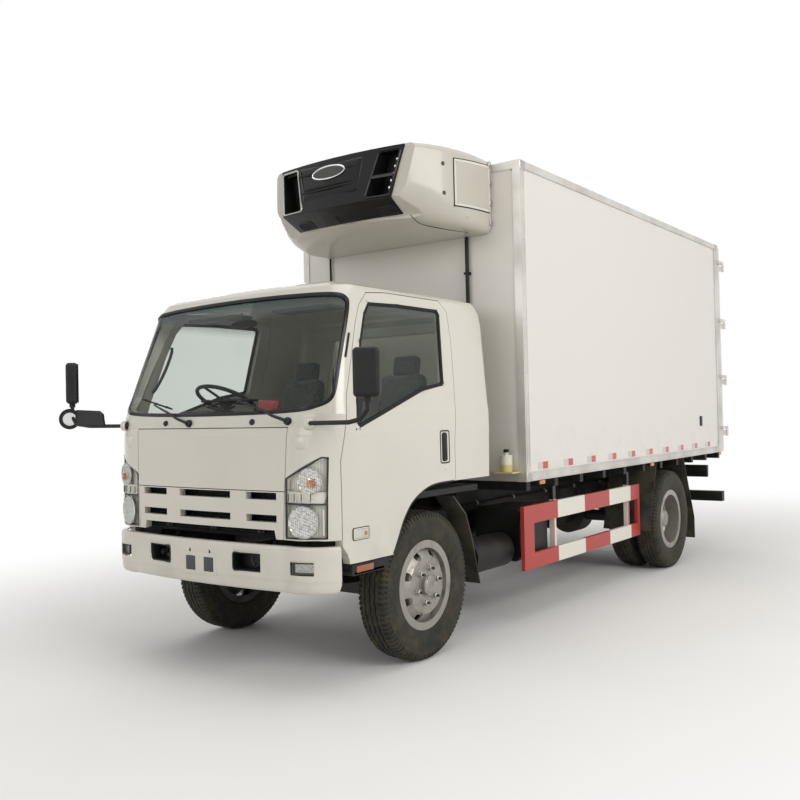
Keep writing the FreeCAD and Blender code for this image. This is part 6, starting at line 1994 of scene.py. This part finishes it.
class TRUCK_OT_stage(Operator):
    """Pale floor and backdrop, soft lamps and the camera"""

    bl_idname = "truck.stage"
    bl_label = "Stage"

    def execute(self, context):
        scene = context.scene
        floor = bpy.data.meshes.new("floor")
        corners = [(-1, -1), (1, -1), (1, 1), (-1, 1)]
        floor.from_pydata([(FLOOR_HALF * x, FLOOR_HALF * y, 0) for x, y in corners], [],
                          [(0, 1, 2, 3)])
        ground = bpy.data.objects.new("floor", floor)
        scene.collection.objects.link(ground)
        floor.materials.append(floor_finish())
        studio = Finish(bpy.data.worlds.new("studio"))
        soft, white = (studio.node("ShaderNodeBackground",
                                   inputs={"Color": colour, "Strength": strength})
                       for colour, strength in (((1.0, 0.985, 0.96), SKY), ((1, 1, 1), 1.0)))
        scene.world = studio.show(soft, white, share=studio.seen())
        for lamp in LAMPS:
            self.lamp(scene, *lamp)
        camera = bpy.data.cameras.new("camera")
        camera.sensor_width, camera.lens = SENSOR, LENS
        view = bpy.data.objects.new("camera", camera)
        scene.collection.objects.link(view)
        ahead = Vector((-math.sin(YAW) * math.cos(PITCH), math.cos(YAW) * math.cos(PITCH),
                        math.sin(PITCH)))
        right = Vector((math.cos(YAW), math.sin(YAW), 0))
        above = right.cross(ahead)
        across = math.cos(ROLL) * right + math.sin(ROLL) * above
        upward = -math.sin(ROLL) * right + math.cos(ROLL) * above
        view.matrix_world = Matrix.Translation(at(*CAMERA_PLACE)) @ Matrix(
            (across, upward, -ahead)).transposed().to_4x4()
        scene.camera = view
        scene.view_settings.view_transform = "Standard"
        return {"FINISHED"}

    @staticmethod
    def lamp(scene, name, place, target, size, power):
        """A soft rectangular lamp that faces its target."""
        light = bpy.data.lights.new(name, "AREA")
        light.shape = "RECTANGLE"
        light.size, light.size_y = size
        light.energy = power
        light.color = (1.0, 0.98, 0.95)
        lamp = bpy.data.objects.new(name, light)
        scene.collection.objects.link(lamp)
        place, target = Vector(at(*place)), Vector(at(*target))
        lamp.location = place
        lamp.rotation_euler = (target - place).to_track_quat("-Z", "Y").to_euler()


def floor_finish():
    """Pale matt floor under the truck, which turns into plain white a few metres from it.

    The white is shown to the camera, and to gloss and glass; it lights nothing."""
    finish = Finish(bpy.data.materials.new("pale_floor"))
    spots = finish.noise(0.6, 3.0).over(0.2, 0.8)
    base = finish.mix((0.92, 0.92, 0.915), (0.89, 0.89, 0.885), spots)
    matt = finish.node("ShaderNodeBsdfPrincipled", inputs={"Base Color": base,
                                                           "Roughness": 0.95})
    white = finish.node("ShaderNodeEmission", inputs={"Color": (1.0, 1.0, 1.0),
                                                      "Strength": 1.0})
    x, y, _ = finish.axes()
    away = ((x * x * 1.6 + y * y * 0.5).math("SQRT")).over(2.6, 7.5)
    return finish.show(matt, white, share=away * finish.seen())


# ---------------------------------------------------------------- add-on

GROUPS = (TruckColours, TruckSizes)
OPERATORS = (
    TRUCK_OT_stage, TRUCK_OT_finishes, TRUCK_OT_tyres, TRUCK_OT_wheel_fittings,
    TRUCK_OT_windscreen_border, TRUCK_OT_wipers, TRUCK_OT_headlamps, TRUCK_OT_grille_core,
    TRUCK_OT_lid_details, TRUCK_OT_bumper, TRUCK_OT_bumper_fittings,
    TRUCK_OT_door_fittings, TRUCK_OT_arch_trims, TRUCK_OT_mirror_glasses,
    TRUCK_OT_box_trims, TRUCK_OT_rear_door_fittings, TRUCK_OT_rear_lamps,
    TRUCK_OT_unit_housing, TRUCK_OT_unit_grille, TRUCK_OT_unit_fittings,
    TRUCK_OT_chassis_fittings, TRUCK_OT_seats, TRUCK_OT_cab_interior)


class TRUCK_PT_panel(Panel):
    """The truck's colours, sizes and making steps"""

    bl_idname = "TRUCK_PT_panel"
    bl_label = "Refrigerated truck"
    bl_space_type = "VIEW_3D"
    bl_region_type = "UI"
    bl_category = "Truck"

    def draw(self, context):
        for group in (context.scene.truck_colours, context.scene.truck_sizes):
            for name in group.bl_rna.properties.keys():
                if name not in ("rna_type", "name"):
                    self.layout.prop(group, name)
        for operator in OPERATORS:
            self.layout.operator(operator.bl_idname)


def register():
    for kind in (*GROUPS, *OPERATORS, TRUCK_PT_panel):
        bpy.utils.register_class(kind)
    bpy.types.Scene.truck_colours = PointerProperty(type=TruckColours)
    bpy.types.Scene.truck_sizes = PointerProperty(type=TruckSizes)


def unregister():
    del bpy.types.Scene.truck_sizes
    del bpy.types.Scene.truck_colours
    for kind in reversed((*GROUPS, *OPERATORS, TRUCK_PT_panel)):
        bpy.utils.unregister_class(kind)


def main():
    register()
    for operator in OPERATORS:
        group, name = operator.bl_idname.split(".")
        getattr(getattr(bpy.ops, group), name)()


if __name__ == "__main__":
    main()
